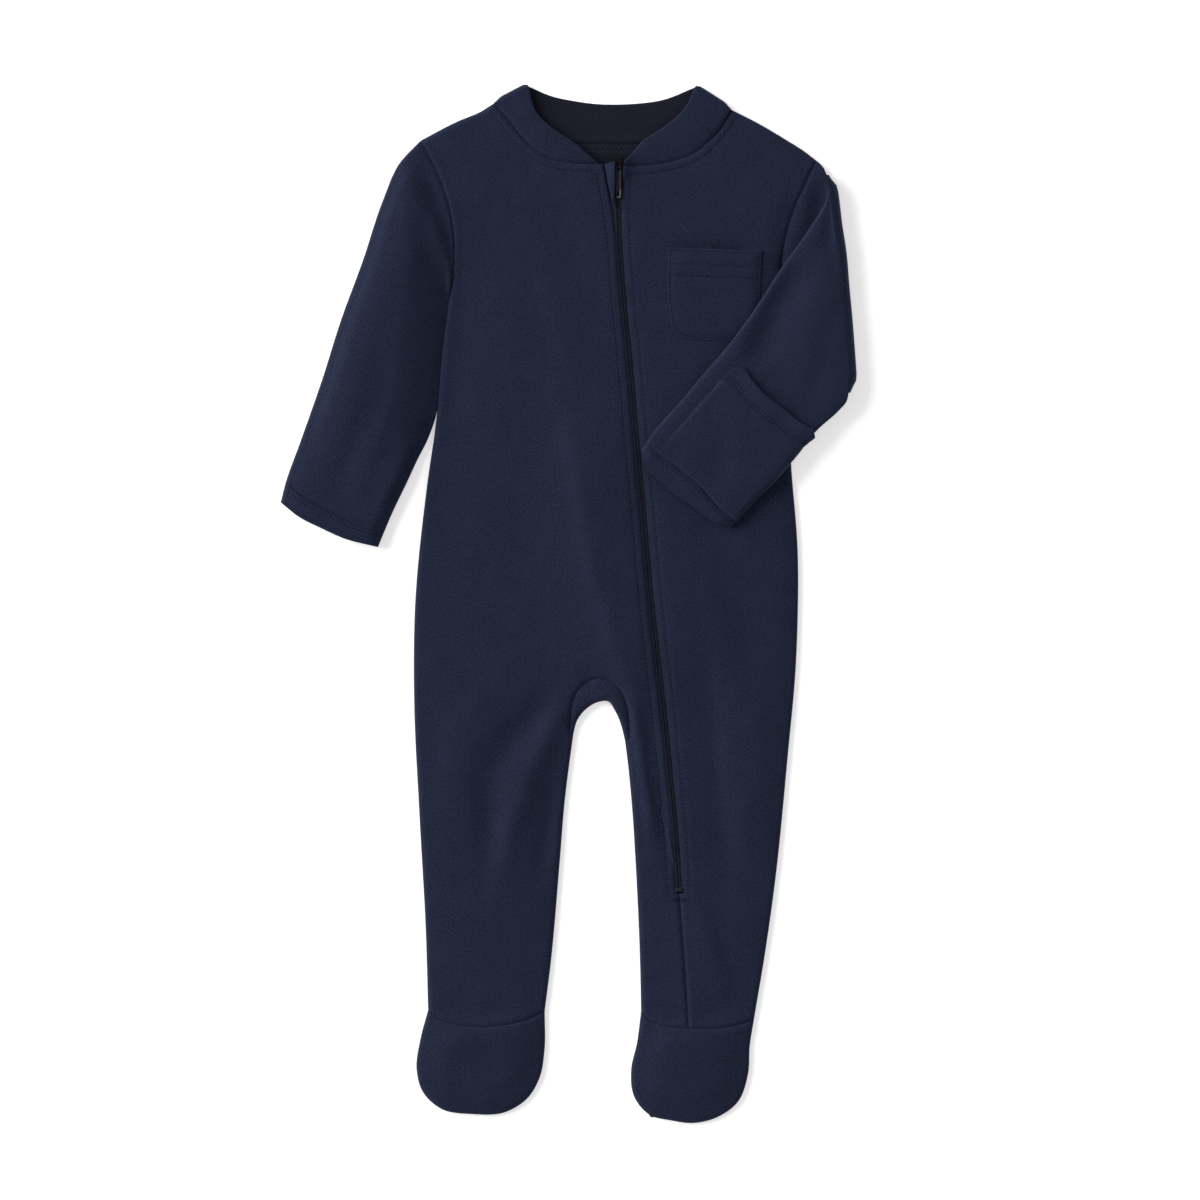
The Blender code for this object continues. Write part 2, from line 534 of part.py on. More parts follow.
# ---------------------------------------------------------------- sleeves
def tube_ring(plan, base, crown_up=0.0, crown_down=0.0, hem_up=0.0, hem_down=0.0, turn=0.0,
              outward=None):
    """Outer and inner loop of one section of a flat sleeve.

    plan(v) gives the plan points across it. turn is the angle by which the sleeve has folded
    over FOLD_AXIS, and outward(v) the way that the fold faces.
    """
    ends = plan(np.array([0.0, 1.0]))
    width = np.linalg.norm(ends[1] - ends[0])
    half = SLEEVE_HEIGHT / 2
    angles = np.radians([-90, -45, 0, 45, 90])
    between = np.linspace(0.0, 1.0, 7)[1:-1]
    swell = np.sin(math.pi * between) ** 2
    loops = []
    for layer, (reach, tall) in enumerate([(SLEEVE_ROUND, half),
                                           (SLEEVE_ROUND - WALL, half - WALL)]):
        end = (SLEEVE_ROUND - reach * np.cos(angles)) / width
        flat = SLEEVE_ROUND / width
        inner_shares = flat + (1 - 2 * flat) * between
        shares = np.concatenate([end, inner_shares, 1 - end[::-1], inner_shares[::-1]])
        level = base + half + tall * np.concatenate(
            [np.sin(angles), np.ones(len(between)), np.sin(angles[::-1]),
             -np.ones(len(between))])
        high = slice(len(angles), len(angles) + len(between))
        low = slice(len(shares) - len(between), len(shares))
        level[high] += crown_up * swell
        level[low] -= crown_down * swell[::-1]
        if layer == 0:
            level[high] += hem_up
            level[low] -= hem_down
        points = plan(shares)
        if turn:
            arm = FOLD_AXIS - level
            points = points + outward(shares) * (arm * math.sin(turn))[:, None]
            level = FOLD_AXIS - arm * math.cos(turn)
        loops.append(raised(points, level))
    return loops


def row(surface, u):
    """The line across a patch at one share of its length."""
    return lambda v: surface(np.full(np.shape(v), u), v)


RIGHT_SLEEVE = patch(curve(ARMHOLE_RIGHT), curve(CUFF_RIGHT), curve(ARM_OUTER_RIGHT),
                     curve(ARM_INNER_RIGHT))
UPPER_ARM_LEFT = patch(curve(ARMHOLE_LEFT), curve(FOLD_LINE), curve(ARM_OUTER_LEFT),
                       curve(ARM_INNER_LEFT))
FOREARM_LEFT = patch(curve(FOLD_LINE), curve(CUFF_LEFT), curve(FOREARM_UPPER),
                     curve(FOREARM_LOWER))
RIGHT_LENGTH = (curve(ARM_OUTER_RIGHT).length + curve(ARM_INNER_RIGHT).length) / 2
FOREARM_LENGTH = (curve(FOREARM_UPPER).length + curve(FOREARM_LOWER).length) / 2


def fold_outward(shares):
    """The way that the fold of the left sleeve faces, square to its fold line."""
    line = curve(FOLD_LINE)
    along = line(np.clip(shares + 0.05, 0, 1)) - line(np.clip(shares - 0.05, 0, 1))
    along /= np.linalg.norm(along, axis=1)[:, None]
    return np.stack([-along[:, 1], along[:, 0]], axis=1)


def make_sleeve_right(collection):
    """A straight sleeve; near the cuff it lies on its folded mitten flap."""
    hem = 1 - CUFF_HEM / RIGHT_LENGTH
    flap = 1 - MITTEN_LENGTH / RIGHT_LENGTH
    start = (GAP + SEAM_GAP) / RIGHT_LENGTH
    rows = [start, 0.08, 0.17, 0.27, 0.37, 0.47, 0.57, flap - 0.02, 0.78, 0.86, hem - 0.004, hem,
            0.975, 1.0]
    rings = []
    for u in rows:
        lift = UNDERLAP * float(ease((u - flap + 0.16) / 0.14))
        crown = SLEEVE_CROWN * float(ease(u / 0.1)) * float(ease((1.02 - u) / 0.3) * 0.6 + 0.4)
        rings.append(tube_ring(row(RIGHT_SLEEVE, u), lift, crown_up=crown,
                               hem_up=CUFF_HEM_RISE * (u >= hem)))
    outer, inner = np.array(rings).transpose(1, 0, 2, 3)
    mesh = wall_grid("sleeve_right", outer, inner, closed=True)
    return finish(make_object("sleeve_right", mesh, collection), NAVY)


def make_sleeve_left(collection):
    """A sleeve folded forward: the upper arm lies flat, the forearm comes back over it."""
    start = SEAM_GAP / 30.0
    hem = 1 - CUFF_HEM / FOREARM_LENGTH
    rings = [tube_ring(row(UPPER_ARM_LEFT, u), 0.0, crown_up=0.3 * float(ease(u / 0.2)))
             for u in (start, 0.35, 0.7, 1.0)]
    for degrees in (30, 60, 90, 120, 150):
        rings.append(tube_ring(row(FOREARM_LEFT, 0.0), 0.0, turn=math.radians(degrees),
                               outward=fold_outward))
    for u in (0.0, 0.08, 0.18, 0.3, 0.42, 0.54, 0.66, 0.78, 0.87, hem - 0.005, hem, 0.97, 1.0):
        rings.append(tube_ring(row(FOREARM_LEFT, u), 0.0, turn=math.pi, outward=fold_outward,
                               crown_down=SLEEVE_CROWN * float(ease(u / 0.15)) * 0.6,
                               hem_down=CUFF_HEM_RISE * 0.5 * (u >= hem)))
    outer, inner = np.array(rings).transpose(1, 0, 2, 3)
    mesh = wall_grid("sleeve_left", outer, inner, closed=True)
    return finish(make_object("sleeve_left", mesh, collection), NAVY)


def make_mitten_left(collection):
    """The flap lies on top of the forearm; its far side is sewn in at the forearm's edge."""
    first = 1 - MITTEN_LENGTH / FOREARM_LENGTH
    seam = 1 - MITTEN_SEAM / FOREARM_LENGTH
    top = 2 * FOLD_AXIS + SLEEVE_CROWN * 0.6 + CUFF_HEM_RISE * 0.5
    outer, inner = [], []
    for u in np.linspace(first, seam, 8):
        line = row(FOREARM_LEFT, u)
        ends = line(np.array([0.0, 1.0]))
        width = np.linalg.norm(ends[1] - ends[0])
        tilt = np.radians([90, 60, 35])
        round_shares = 1 - (SLEEVE_ROUND * (1 - np.sin(math.pi / 2 - tilt))) / width
        near = MITTEN_INSET / width
        shares = np.concatenate([np.linspace(near, round_shares[0], 6), round_shares[1:]])
        drop = np.concatenate([np.zeros(5), SLEEVE_HEIGHT / 2 * (1 - np.sin(tilt))])
        out = np.concatenate([np.zeros(5), np.cos(tilt)])
        up = np.concatenate([np.ones(5), np.sin(tilt)])
        across = (ends[1] - ends[0]) / width
        base = line(shares)
        for store, offset in ((outer, GAP + WALL), (inner, GAP)):
            store.append(raised(base + across * (out * offset)[:, None],
                                top - drop + up * offset))
    mesh = wall_grid("mitten_left", np.array(outer), np.array(inner), closed=False)
    return finish(make_object("mitten_left", mesh, collection), NAVY)


def make_mitten_right(collection):
    """The same flap under the right cuff, flat on the surface."""
    first = 1 - MITTEN_LENGTH / RIGHT_LENGTH
    shares = np.linspace(0.05, 0.93, 5)
    rows = np.linspace(first, 0.985, 6)
    plan = np.array([RIGHT_SLEEVE(np.full(len(shares), u), shares) for u in rows])
    outer = np.concatenate([plan, np.full(plan.shape[:2] + (1,), WALL)], axis=2)
    inner = np.concatenate([plan, np.zeros(plan.shape[:2] + (1,))], axis=2)
    mesh = wall_grid("mitten_right", outer, inner, closed=False)
    return finish(make_object("mitten_right", mesh, collection), NAVY)


# ---------------------------------------------------------------- collar and pocket
def make_neckband(collection):
    """One strip round the neck, folded at both shoulders, its two ends at the zip."""
    across = np.array([0.0, 0.33, 0.67, 1.0])
    front_level = COLLAR_HEIGHT + COLLAR_FREE_RISE * across

    def strip(seam, free, shares, top, outer, inner):
        for share in shares:
            a, b = seam(share)[0], free(share)[0]
            a = a + (b - a) / np.linalg.norm(b - a) * COLLAR_SEAM_GAP
            plan = a + (b - a) * across[:, None]
            near_fold = float(ease((1 - share) / 0.25)) if top else 0.0
            level = COLLAR_HEIGHT + (front_level - COLLAR_HEIGHT) * near_fold
            outer.append(raised(plan, level if top else np.zeros(4)))
            inner.append(raised(plan, level - WALL if top else np.full(4, WALL)))

    def fold(foot, tip, side, degrees, outer, inner):
        foot, tip = np.array(foot), np.array(tip)
        along = (tip - foot) / np.linalg.norm(tip - foot)
        out = np.array([-along[1], along[0]]) * side
        plan = foot + (tip - foot) * across[:, None]
        for angle in np.radians(degrees):
            for store, reach in ((outer, COLLAR_ROUND), (inner, COLLAR_ROUND - WALL)):
                level = COLLAR_ROUND + reach * math.cos(angle)
                store.append(raised(plan + out * reach * math.sin(angle), np.full(4, level)))

    outer, inner = [], []
    seam_right = curve(NECK_SEAM_RIGHT[1:][::-1] + [COLLAR_FOOT_RIGHT])
    seam_left = curve(NECK_SEAM_LEFT[1:][::-1] + [COLLAR_FOOT_LEFT])
    seam_back = curve([COLLAR_FOOT_RIGHT] + NECK_SEAM_BACK[1:-1] + [COLLAR_FOOT_LEFT])
    shares = np.linspace(0.0, 1.0, 10)
    strip(seam_right, curve(COLLAR_FREE_RIGHT), shares, True, outer, inner)
    fold(COLLAR_FOOT_RIGHT, COLLAR_TIP_RIGHT, 1, (45, 90, 135), outer, inner)
    strip(seam_back, curve(COLLAR_FREE_BACK), np.linspace(0.0, 1.0, 13), False, outer, inner)
    fold(COLLAR_FOOT_LEFT, COLLAR_TIP_LEFT, -1, (135, 90, 45), outer, inner)
    strip(seam_left, curve(COLLAR_FREE_LEFT), shares[::-1], True, outer, inner)
    mesh = wall_grid("neckband", np.array(outer), np.array(inner), closed=False)
    return finish(make_object("neckband", mesh, collection), NAVY)


def make_pocket(collection):
    mesh = panel("pocket", join(POCKET), above_front_skins, rings=(2.0,), lattice=LATTICE)
    return finish(make_object("pocket", mesh, collection), NAVY)


# ---------------------------------------------------------------- zip
def zip_stations(top, bottom):
    """Points, sideways directions and front heights along the zip between two levels."""
    line = sample(ZIP_LINE)
    line = line[(line[:, 1] < top - 3.0) & (line[:, 1] > bottom + 3.0)]
    centre = curve(ZIP_LINE)(np.linspace(0, 1, 400))
    ends = [centre[np.argmin(np.abs(centre[:, 1] - level))] for level in (top, bottom)]
    line = np.vstack([ends[:1], line, ends[1:]])
    sideways = beside(line, 1.0) - line
    height = front_shape(line, seams=False)[0] - SEAM_DIP
    return line, sideways, height


def make_zip_chain(collection):
    line, sideways, height = zip_stations(AXIS_Y - SLIDER_TAIL - GAP, ZIP_BOTTOM + STOP_LENGTH + 2.0)
    top_half = CHAIN_HALF - CHAIN_TOP_BEVEL
    offsets = [CHAIN_HALF, CHAIN_HALF, top_half, -top_half, -CHAIN_HALF, -CHAIN_HALF]
    drops = [WALL, CHAIN_TOP_BEVEL, 0.0, 0.0, CHAIN_TOP_BEVEL, WALL]
    rings = np.array([[(*(p + s * off), h + 0.1 - drop) for off, drop in zip(offsets, drops)]
                      for p, s, h in zip(line, sideways, height)])
    mesh = bar_mesh("zip_chain", rings)
    return finish(make_object("zip_chain", mesh, collection), NAVY_COIL, 0.5)


def make_zip_tape(name, side, collection):
    """A woven tape under the front's edge; it swings out beside the slider."""
    line, sideways, height = zip_stations(AXIS_Y + 1.0, ZIP_BOTTOM + 1.0)
    rings = []
    for p, s, h in zip(line, sideways, height):
        spread = TAPE_SPREAD * float(ease((p[1] - 247.0) / 9.0))
        high = h - WALL - GAP
        corners = [(SEAM_GAP + spread, high), (TAPE_HALF + spread * 0.4, high),
                   (TAPE_HALF + spread * 0.4, high - TAPE_WALL), (SEAM_GAP + spread, high - TAPE_WALL)]
        rings.append([(*(p + s * side * off), z) for off, z in corners])
    mesh = bar_mesh(name, np.array(rings))
    return finish(make_object(name, mesh, collection), NAVY_COIL, 0.8)


def make_zip_stop(collection):
    centre = curve(ZIP_LINE)(np.linspace(0, 1, 400))
    place = centre[np.argmin(np.abs(centre[:, 1] - (ZIP_BOTTOM + 0.7 + STOP_LENGTH / 2)))]
    level = front_shape(place[None], seams=False)[0][0] - SEAM_DIP
    work = bmesh.new()
    bmesh.ops.create_cube(work, size=1.0)
    size = Vector((2 * CHAIN_HALF, STOP_LENGTH, STOP_HEIGHT)) * MM
    bmesh.ops.scale(work, vec=size, verts=work.verts)
    mesh = bpy.data.meshes.new("zip_stop")
    work.to_mesh(mesh)
    work.free()
    item = make_object("zip_stop", mesh, collection)
    item.location = Vector((place[0], place[1], level - 0.25)) * MM
    bevel = item.modifiers.new("rounded", "BEVEL")
    bevel.width, bevel.segments = 0.35 * MM, 2
    return finish(item, DARK_METAL, 0.45)


def make_slider(collection, helpers):
    """Slider body, narrower at its tail, with a crown that the pull's crossbar turns in."""
    work = bmesh.new()
    bmesh.ops.create_cube(work, size=1.0)
    for corner in work.verts:
        width = SLIDER_TAIL_WIDTH if corner.co.y < 0 else SLIDER_WIDTH
        corner.co.x *= width * MM
        corner.co.y = (corner.co.y + 0.5) * SLIDER_LENGTH * MM - SLIDER_TAIL * MM
        corner.co.z = (SLIDER_LOW if corner.co.z < 0 else SLIDER_TOP) * MM - AXIS_Z * MM
    bmesh.ops.bevel(work, geom=work.edges[:], offset=0.5 * MM, segments=2, affect="EDGES")
    mesh = bpy.data.meshes.new("zip_slider")
    work.to_mesh(mesh)
    work.free()
    mesh.shade_smooth()
    mesh.set_sharp_from_angle(angle=math.radians(40))
    slider = make_object("zip_slider", mesh, collection)
    slider.location = Vector((AXIS_X, AXIS_Y, AXIS_Z)) * MM

    middle = CROWN_HOLE + CROWN_BAR / 2
    foot = SLIDER_TOP - AXIS_Z - 0.4
    path = [(middle, foot)] + [(middle * math.cos(a), middle * math.sin(a))
                               for a in np.linspace(0, math.pi, 9)] + [(-middle, foot)]
    rings = []
    for y, z in path:
        out = np.array([y, max(z, 0.0)])
        out *= CROWN_BAR / np.linalg.norm(out)
        rings.append([(x * CROWN_WIDTH, y + out[0] * bar, z + out[1] * bar)
                      for x, bar in ((-0.5, -0.5), (0.5, -0.5), (0.5, 0.5), (-0.5, 0.5))])
    crown = make_object("slider_crown", bar_mesh("slider_crown", np.array(rings)), helpers)
    crown.location = slider.location
    crown.hide_render = True
    crown.display_type = "WIRE"
    union = slider.modifiers.new("crown", "BOOLEAN")
    union.operation, union.solver, union.object = "UNION", "EXACT", crown
    return finish(slider, DARK_METAL, 0.4, 0.6)


def add_loop(outline, points):
    """Add one closed straight-sided loop to a flat curve; points are x, y."""
    spline = outline.splines.new("POLY")
    spline.points.add(len(points) - 1)
    for place, (x, y) in zip(spline.points, points):
        place.co = (x * MM, y * MM, 0.0, 1.0)
    spline.use_cyclic_u = True


def arc(x, y, radius, start, end, steps=6):
    return [(x + radius * math.cos(math.radians(a)), y + radius * math.sin(math.radians(a)))
            for a in np.linspace(start, end, steps)]


def make_pull(collection):
    """Flat pull tab, its crossbar on the hinge, with a window for the crown and a small slot."""
    half, end_half, corner = PULL_WIDTH / 2, PULL_END_WIDTH / 2, 0.4
    outline = bpy.data.curves.new("zip_pull", "CURVE")
    outline.dimensions = "2D"
    outline.fill_mode = "BOTH"
    outline.extrude = PULL_THICK / 2 * MM
    add_loop(outline, arc(half - corner, PULL_BAR - corner, corner, 0, 90, 3)
             + arc(corner - half, PULL_BAR - corner, corner, 90, 180, 3)
             + [(-half, -PULL_WINDOW_END - 1.0)]
             + arc(0, end_half - PULL_LENGTH, end_half, 180, 360, 9)
             + [(half, -PULL_WINDOW_END - 1.0)])
    window = PULL_WINDOW_WIDTH / 2
    add_loop(outline, [(-window, -PULL_BAR), (window, -PULL_BAR), (window, -PULL_WINDOW_END),
                       (-window, -PULL_WINDOW_END)])
    slot = PULL_SLOT_WIDTH / 2
    add_loop(outline, [(-slot, -PULL_SLOT_FROM), (slot, -PULL_SLOT_FROM), (slot, -PULL_SLOT_TO),
                       (-slot, -PULL_SLOT_TO)])
    flat = make_object("pull_outline", outline, collection)
    view = bpy.context.evaluated_depsgraph_get()
    mesh = bpy.data.meshes.new_from_object(flat.evaluated_get(view), depsgraph=view)
    mesh.name = "zip_pull"
    bpy.data.objects.remove(flat, do_unlink=True)
    work = bmesh.new()
    work.from_mesh(mesh)
    bmesh.ops.remove_doubles(work, verts=work.verts, dist=0.01 * MM)
    bmesh.ops.recalc_face_normals(work, faces=work.faces)
    work.to_mesh(mesh)
    work.free()
    pull = make_object("zip_pull", mesh, collection)
    pull.location = Vector((AXIS_X, AXIS_Y, AXIS_Z)) * MM
    pull.rotation_euler = (math.radians(PULL_REST_DEGREES), 0, 0)
    return finish(pull, DARK_METAL, 0.35, 0.7)


def make_garage(collection):
    mesh = panel("zip_garage", join(GARAGE), garage_skins, rings=(), lattice=4.0)
    return finish(make_object("zip_garage", mesh, collection), NAVY)


# ---------------------------------------------------------------- the whole garment
def build():
    for item in list(bpy.data.objects):
        bpy.data.objects.remove(item, do_unlink=True)
    sleeper = bpy.data.collections.new(OBJECT_NAME)
    helpers = bpy.data.collections.new("cutters")
    bpy.context.scene.collection.children.link(sleeper)
    bpy.context.scene.collection.children.link(helpers)

    make_back(sleeper)
    make_front_right(sleeper)
    make_front_left(sleeper)
    make_gusset(sleeper)
    make_foot("right", FOOT_RIGHT, sample(ANKLE_RIGHT), sleeper)
    ankle_left = np.vstack([sample(ANKLE_LEFT_INNER), sample(ANKLE_LEFT_OUTER)[1:]])
    make_foot("left", FOOT_LEFT, ankle_left, sleeper)
    make_sleeve_right(sleeper)
    make_sleeve_left(sleeper)
    make_mitten_right(sleeper)
    make_mitten_left(sleeper)
    make_neckband(sleeper)
    make_pocket(sleeper)
    make_zip_tape("zip_tape_right", -1, sleeper)
    make_zip_tape("zip_tape_left", 1, sleeper)
    make_zip_chain(sleeper)
    make_zip_stop(sleeper)
    make_slider(sleeper, helpers)
    make_pull(sleeper)
    make_garage(sleeper)


build()
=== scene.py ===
"""Looks of a baby's footed zip sleeper in navy cotton knit, laid flat on its back.

+Y runs to the collar, +X to the wearer's left, +Z up. Tables and helper values are in
millimetres; meshes are written in metres. "Right" and "left" are the wearer's.
"""
import math

import bmesh
import bpy
import numpy as np
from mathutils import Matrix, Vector
from mathutils.geometry import delaunay_2d_cdt


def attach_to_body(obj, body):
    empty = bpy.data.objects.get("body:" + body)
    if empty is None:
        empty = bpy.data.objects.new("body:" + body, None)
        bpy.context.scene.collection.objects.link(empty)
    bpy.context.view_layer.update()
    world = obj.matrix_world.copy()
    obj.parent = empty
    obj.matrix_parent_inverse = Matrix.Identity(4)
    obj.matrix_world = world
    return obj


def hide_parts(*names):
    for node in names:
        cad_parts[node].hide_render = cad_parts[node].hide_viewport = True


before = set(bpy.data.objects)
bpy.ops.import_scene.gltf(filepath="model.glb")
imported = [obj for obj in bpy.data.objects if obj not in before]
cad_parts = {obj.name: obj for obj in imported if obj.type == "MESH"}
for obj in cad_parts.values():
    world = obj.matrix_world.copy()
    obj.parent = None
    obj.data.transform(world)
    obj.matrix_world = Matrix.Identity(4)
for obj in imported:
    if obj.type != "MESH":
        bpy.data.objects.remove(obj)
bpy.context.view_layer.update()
bpy.ops.object.select_all(action="DESELECT")

MM = 0.001
BODY = "garment"

# ---- sizes of the cloth
WALL = 1.0               # cotton knit
SEAM_HALF = 0.06         # each panel stops this far short of its seam line
EDGE_ROUND = 3.2         # width of the rounding where cloth turns over at a side
FRONT_FLOOR = 1.5        # lowest level of the front, at its sides
AIR_AT_EDGE = 0.8        # room inside just behind the rounded side
AIR_MORE = 2.0           # further room in the middle of the body
AIR_REACH = 22.0
FOOT_AIR = 1.6
FOOT_TOP = -244.0
LEAST_ROOM = 0.35        # troughs flatten out as the front nears the back
FOLD_FADE = 10.0         # folds fade out this close to a side
BACK_ROUND = 1.6         # the back turns up at the sides to meet the front
BACK_RISE = 1.35
BACK_LAP = 1.2           # the back reaches this far past the front's seams
SEAM_LIFT = 1.12         # a lower layer lies this much higher on the back's seam edge
SEAM_DIP, SEAM_DIP_WIDTH = 0.65, 0.95
SEAM_SWELL = 0.14        # soft roll beside a seam
PUCKER, PUCKER_LENGTH = 0.10, 7.0
ARMHOLE_LEAST = 3.4      # lowest level of the sewn edge at an armhole

SLEEVE_HEIGHT = 4.4      # flat sleeve, both layers
SLEEVE_CROWN = 0.9
ARM_CROWN = 5.5          # the right sleeve holds more air
SLEEVE_ROUND = 3.0
DROOP, DROOP_REACH = 2.1, 28.0   # the right sleeve falls away toward the body's side
OUTER_REACH = 24.0       # and a little toward its outer edge
UPPER_ARM_LENGTH = 30.0
CUFF_HEM, CUFF_HEM_RISE = 11.0, 0.45
FOLD_AXIS = 5.65         # height of the line that the left sleeve folds about
MITTEN_LENGTH = 66.0
MITTEN_HEM, MITTEN_ROW_GAP = 8.4, 1.8    # from its free edge to two rows of stitches
UNDERLAP = 1.5           # the right cuff lies on its own mitten flap

COLLAR_HEIGHT, COLLAR_FREE_RISE, COLLAR_ROUND = 5.0, 0.7, 2.5
COLLAR_WALL = 1.5        # the band is double

ZIP_HALF = 2.25
ZIP_BOTTOM = -174.0
ZIP_TOP = 259.0          # the chain runs into the slider here
WELT, WELT_STITCH = 0.20, (5.3, 4.7)     # sunk edge beside the zip, and its topstitching
NECK_STITCH = 4.8
SLIDER_RISE, SLIDER_REACH = 2.2, 7.0     # cloth lying up over the slider's left side
SLIDER_LINE = [(32.6, 270.0), (32.6, 258.5)]    # down the slider's left side
SLIDER_MIDDLE = 30.3
TOOTH_PITCH, TOOTH_HALF, TOOTH_SINK, TOOTH_SLANT = 1.35, 0.80, 0.75, 0.16
TAPE_INNER, TAPE_OUTER = 0.15, 5.5       # its edges, from the zip's middle
TAPE_SWING = 3.3         # and how far it swings out beside the slider
TAB_LEVEL, TAB_TURN = 5.4, 0.65  # height at the tab's sewn side, and radius of its fold
BAR_HALF, BAR_ROWS = 4.6, (3.0, 3.8, 4.6)    # rows of stitches below the zip's end
TAPE_WALL, PLY = 0.45, 0.55      # zip tape, and one layer of the small tab
STITCH, STITCH_GAP, THREAD_HALF = 1.7, 0.7, 0.27

MEET = 0.02              # line ends closer than this are one point
CHUNK = 4000             # points measured at a time
EDGE_STEP = 2.0          # spacing of points along a cut line
SIDE_STEP, FOLD_STEP = 3.0, 6.0  # round the whole outline, and along a fold
LATTICE = 2.5            # and inside a panel
EDGE_RINGS = (0.3, 0.7, 1.2, 1.8, 2.5, 3.2, 3.9, 4.4, 4.9, 5.6)
BACK_RINGS, BACK_LATTICE = (0.3, 0.7, 1.1, 1.6), 4.0

# ---- lines of the cut: x, y
SHOULDER_RIGHT = [(-44.2, 300.4), (-51.6, 295.6), (-67.2, 288.9), (-88.4, 277.8)]
ARMHOLE_RIGHT = [(-88.4, 277.8), (-77.1, 255.3), (-70.2, 232.5), (-68.4, 215.1), (-69.6, 197.1)]
SIDE_RIGHT = [(-69.6, 197.1), (-75.6, 150.3), (-79.2, 109.5), (-84.6, 71.1), (-91.8, -0.9),
    (-92.4, -57.9), (-89.2, -126.9), (-85.3, -198.9), (-84, -243.9)]
ANKLE_RIGHT = [(-84, -243.9), (-75.6, -249.9), (-63, -253.5), (-42.6, -253.5), (-25.2, -249.9),
    (-13.9, -244.5)]
FOOT_RIGHT = [(-84, -243.9), (-88.7, -261.6), (-90.9, -279.8), (-87.6, -292.4), (-76.3, -303.2),
    (-57.6, -306.4), (-37.4, -305.2), (-23.8, -296.4), (-16.7, -283.8), (-14, -267.9),
    (-13.9, -244.5)]
INSEAM_RIGHT = [(-13.9, -244.5), (-10.4, -216.9), (-4.8, -153.9), (-1.8, -117.9), (1.4, -92.1),
    (3.5, -77)]
CROTCH = [(3.5, -77), (5.4, -70.4), (11.4, -62.9), (18, -59.2), (24, -58.7), (28.3, -64.6),
    (33, -77.1), (33.9, -81)]
GUSSET_SEAM = [(0.8, -77), (1.4, -71.9), (2.4, -61), (4.8, -54), (10.2, -48), (18, -45),
    (25.2, -46.3), (31.2, -51.9), (34.8, -59.6), (36.5, -70.2), (36.9, -81)]
INSEAM_LEFT = [(33.9, -81), (35.4, -92.1), (38, -117.9), (40.4, -153.9), (43.2, -216.9),
    (43.8, -244.5)]
ANKLE_LEFT_INNER = [(43.8, -244.5), (49.8, -250.5), (61, -254.1), (72.3, -254.9)]
ANKLE_LEFT_OUTER = [(72.3, -254.9), (85, -255.1), (99.6, -253.5), (111.6, -249.9)]
FOOT_LEFT = [(43.8, -244.5), (41.4, -263.1), (37.8, -280.2), (39.5, -295.6), (48.6, -306.7),
    (62.2, -310.3), (74.4, -311.8), (89.4, -308.4), (102, -299.1), (108, -282.9), (109.2, -264.9),
    (111.6, -249.9)]
SIDE_LEFT = [(129, 182.1), (134, 134.1), (133.7, 98.1), (133.9, 85), (134.8, 72), (136.4, 54),
    (137.7, 36), (138.2, 14), (138, -4), (136.8, -36.9), (132, -90.9), (123.7, -171.9),
    (118.6, -207.9), (111.6, -249.9)]
ARMHOLE_LEFT = [(149.2, 265.6), (142.6, 252.3), (135, 235.5), (131.9, 225.4), (128.2, 205),
    (129, 182.1)]
SHOULDER_LEFT = [(97.8, 296.4), (112.2, 289.2), (130.8, 278.3), (142, 271.2), (149.2, 265.6)]
NECK_SEAM_RIGHT = [(-44.2, 300.4), (-36.8, 291.3), (-27.8, 280.1), (-19.8, 272.1), (-7.8, 266.1),
    (3, 264.3), (18, 264)]
NECK_SEAM_LEFT = [(97.8, 296.4), (91.2, 285.1), (84, 277.1), (76.2, 270.6), (65.2, 266.1),
    (51, 263.3), (33, 262.8)]
NECK_SEAM_BACK = [(-44.2, 300.4), (-33.6, 290.1), (-19.8, 282.3), (-1.8, 278.4), (23.4, 277.5),
    (49.2, 278.1), (70.2, 282.9), (85.2, 288.5), (97.8, 296.4)]
ZIP_LINE = [(29.8, 264.3), (29.8, 233.1), (31.4, 204.9), (33.6, 177.9), (36.9, 144.9), (41.1, 95.7),
    (45, 54.9), (48.5, 14.1), (52.8, -26.7), (57.9, -71.1), (60.6, -98.1), (64.8, -143.1),
    (66.7, ZIP_BOTTOM)]
LEG_SEAM = [(66.7, ZIP_BOTTOM), (69.6, -210.3), (72.3, -254.9)]
ZIP_MOUTH_RIGHT = [(21.2, 263.7), (23.7, 249.9), (26.2, 237.5), (27.5, 226)]
ZIP_MOUTH_LEFT = [(33, 262.8), (32.8, 257.1), (32.5, 245.1), (32.2, 232)]

ARM_OUTER_RIGHT = [(-88.4, 277.8), (-101.4, 263.7), (-111, 242.1), (-123, 206.1), (-136.2, 170.1),
    (-147.6, 134.1), (-160.2, 98.1), (-169.8, 71.1), (-172.4, 60.6)]
ARM_FREE_INNER = [(-84.8, 97), (-90.4, 86.1), (-95.9, 74.1), (-105.4, 54.3), (-114, 33.8)]
CUFF_RIGHT = [(-172.4, 60.6), (-161.4, 51.9), (-148.8, 45.5), (-133.8, 38.8), (-114, 33.8)]
ARM_OUTER_LEFT = [(149.2, 265.6), (153, 262), (155.2, 257.2)]
ARM_INNER_LEFT = [(129, 182.1), (147, 157), (168.4, 126.4)]
FOLD_LINE = [(155.2, 257.2), (157.2, 242.5), (159.1, 226.5), (161.4, 211.7), (163.5, 187.9),
    (165.2, 170), (166.6, 152), (168.4, 126.4)]
FOREARM_UPPER = [(155.2, 257.2), (156.2, 249), (154.2, 240.3), (151.2, 234.9), (143.4, 222.9),
    (128.4, 201.9), (110.4, 174.3), (96, 154.8), (79.2, 135.3), (67.2, 120.9), (52.2, 104.1),
    (44.1, 92.1)]
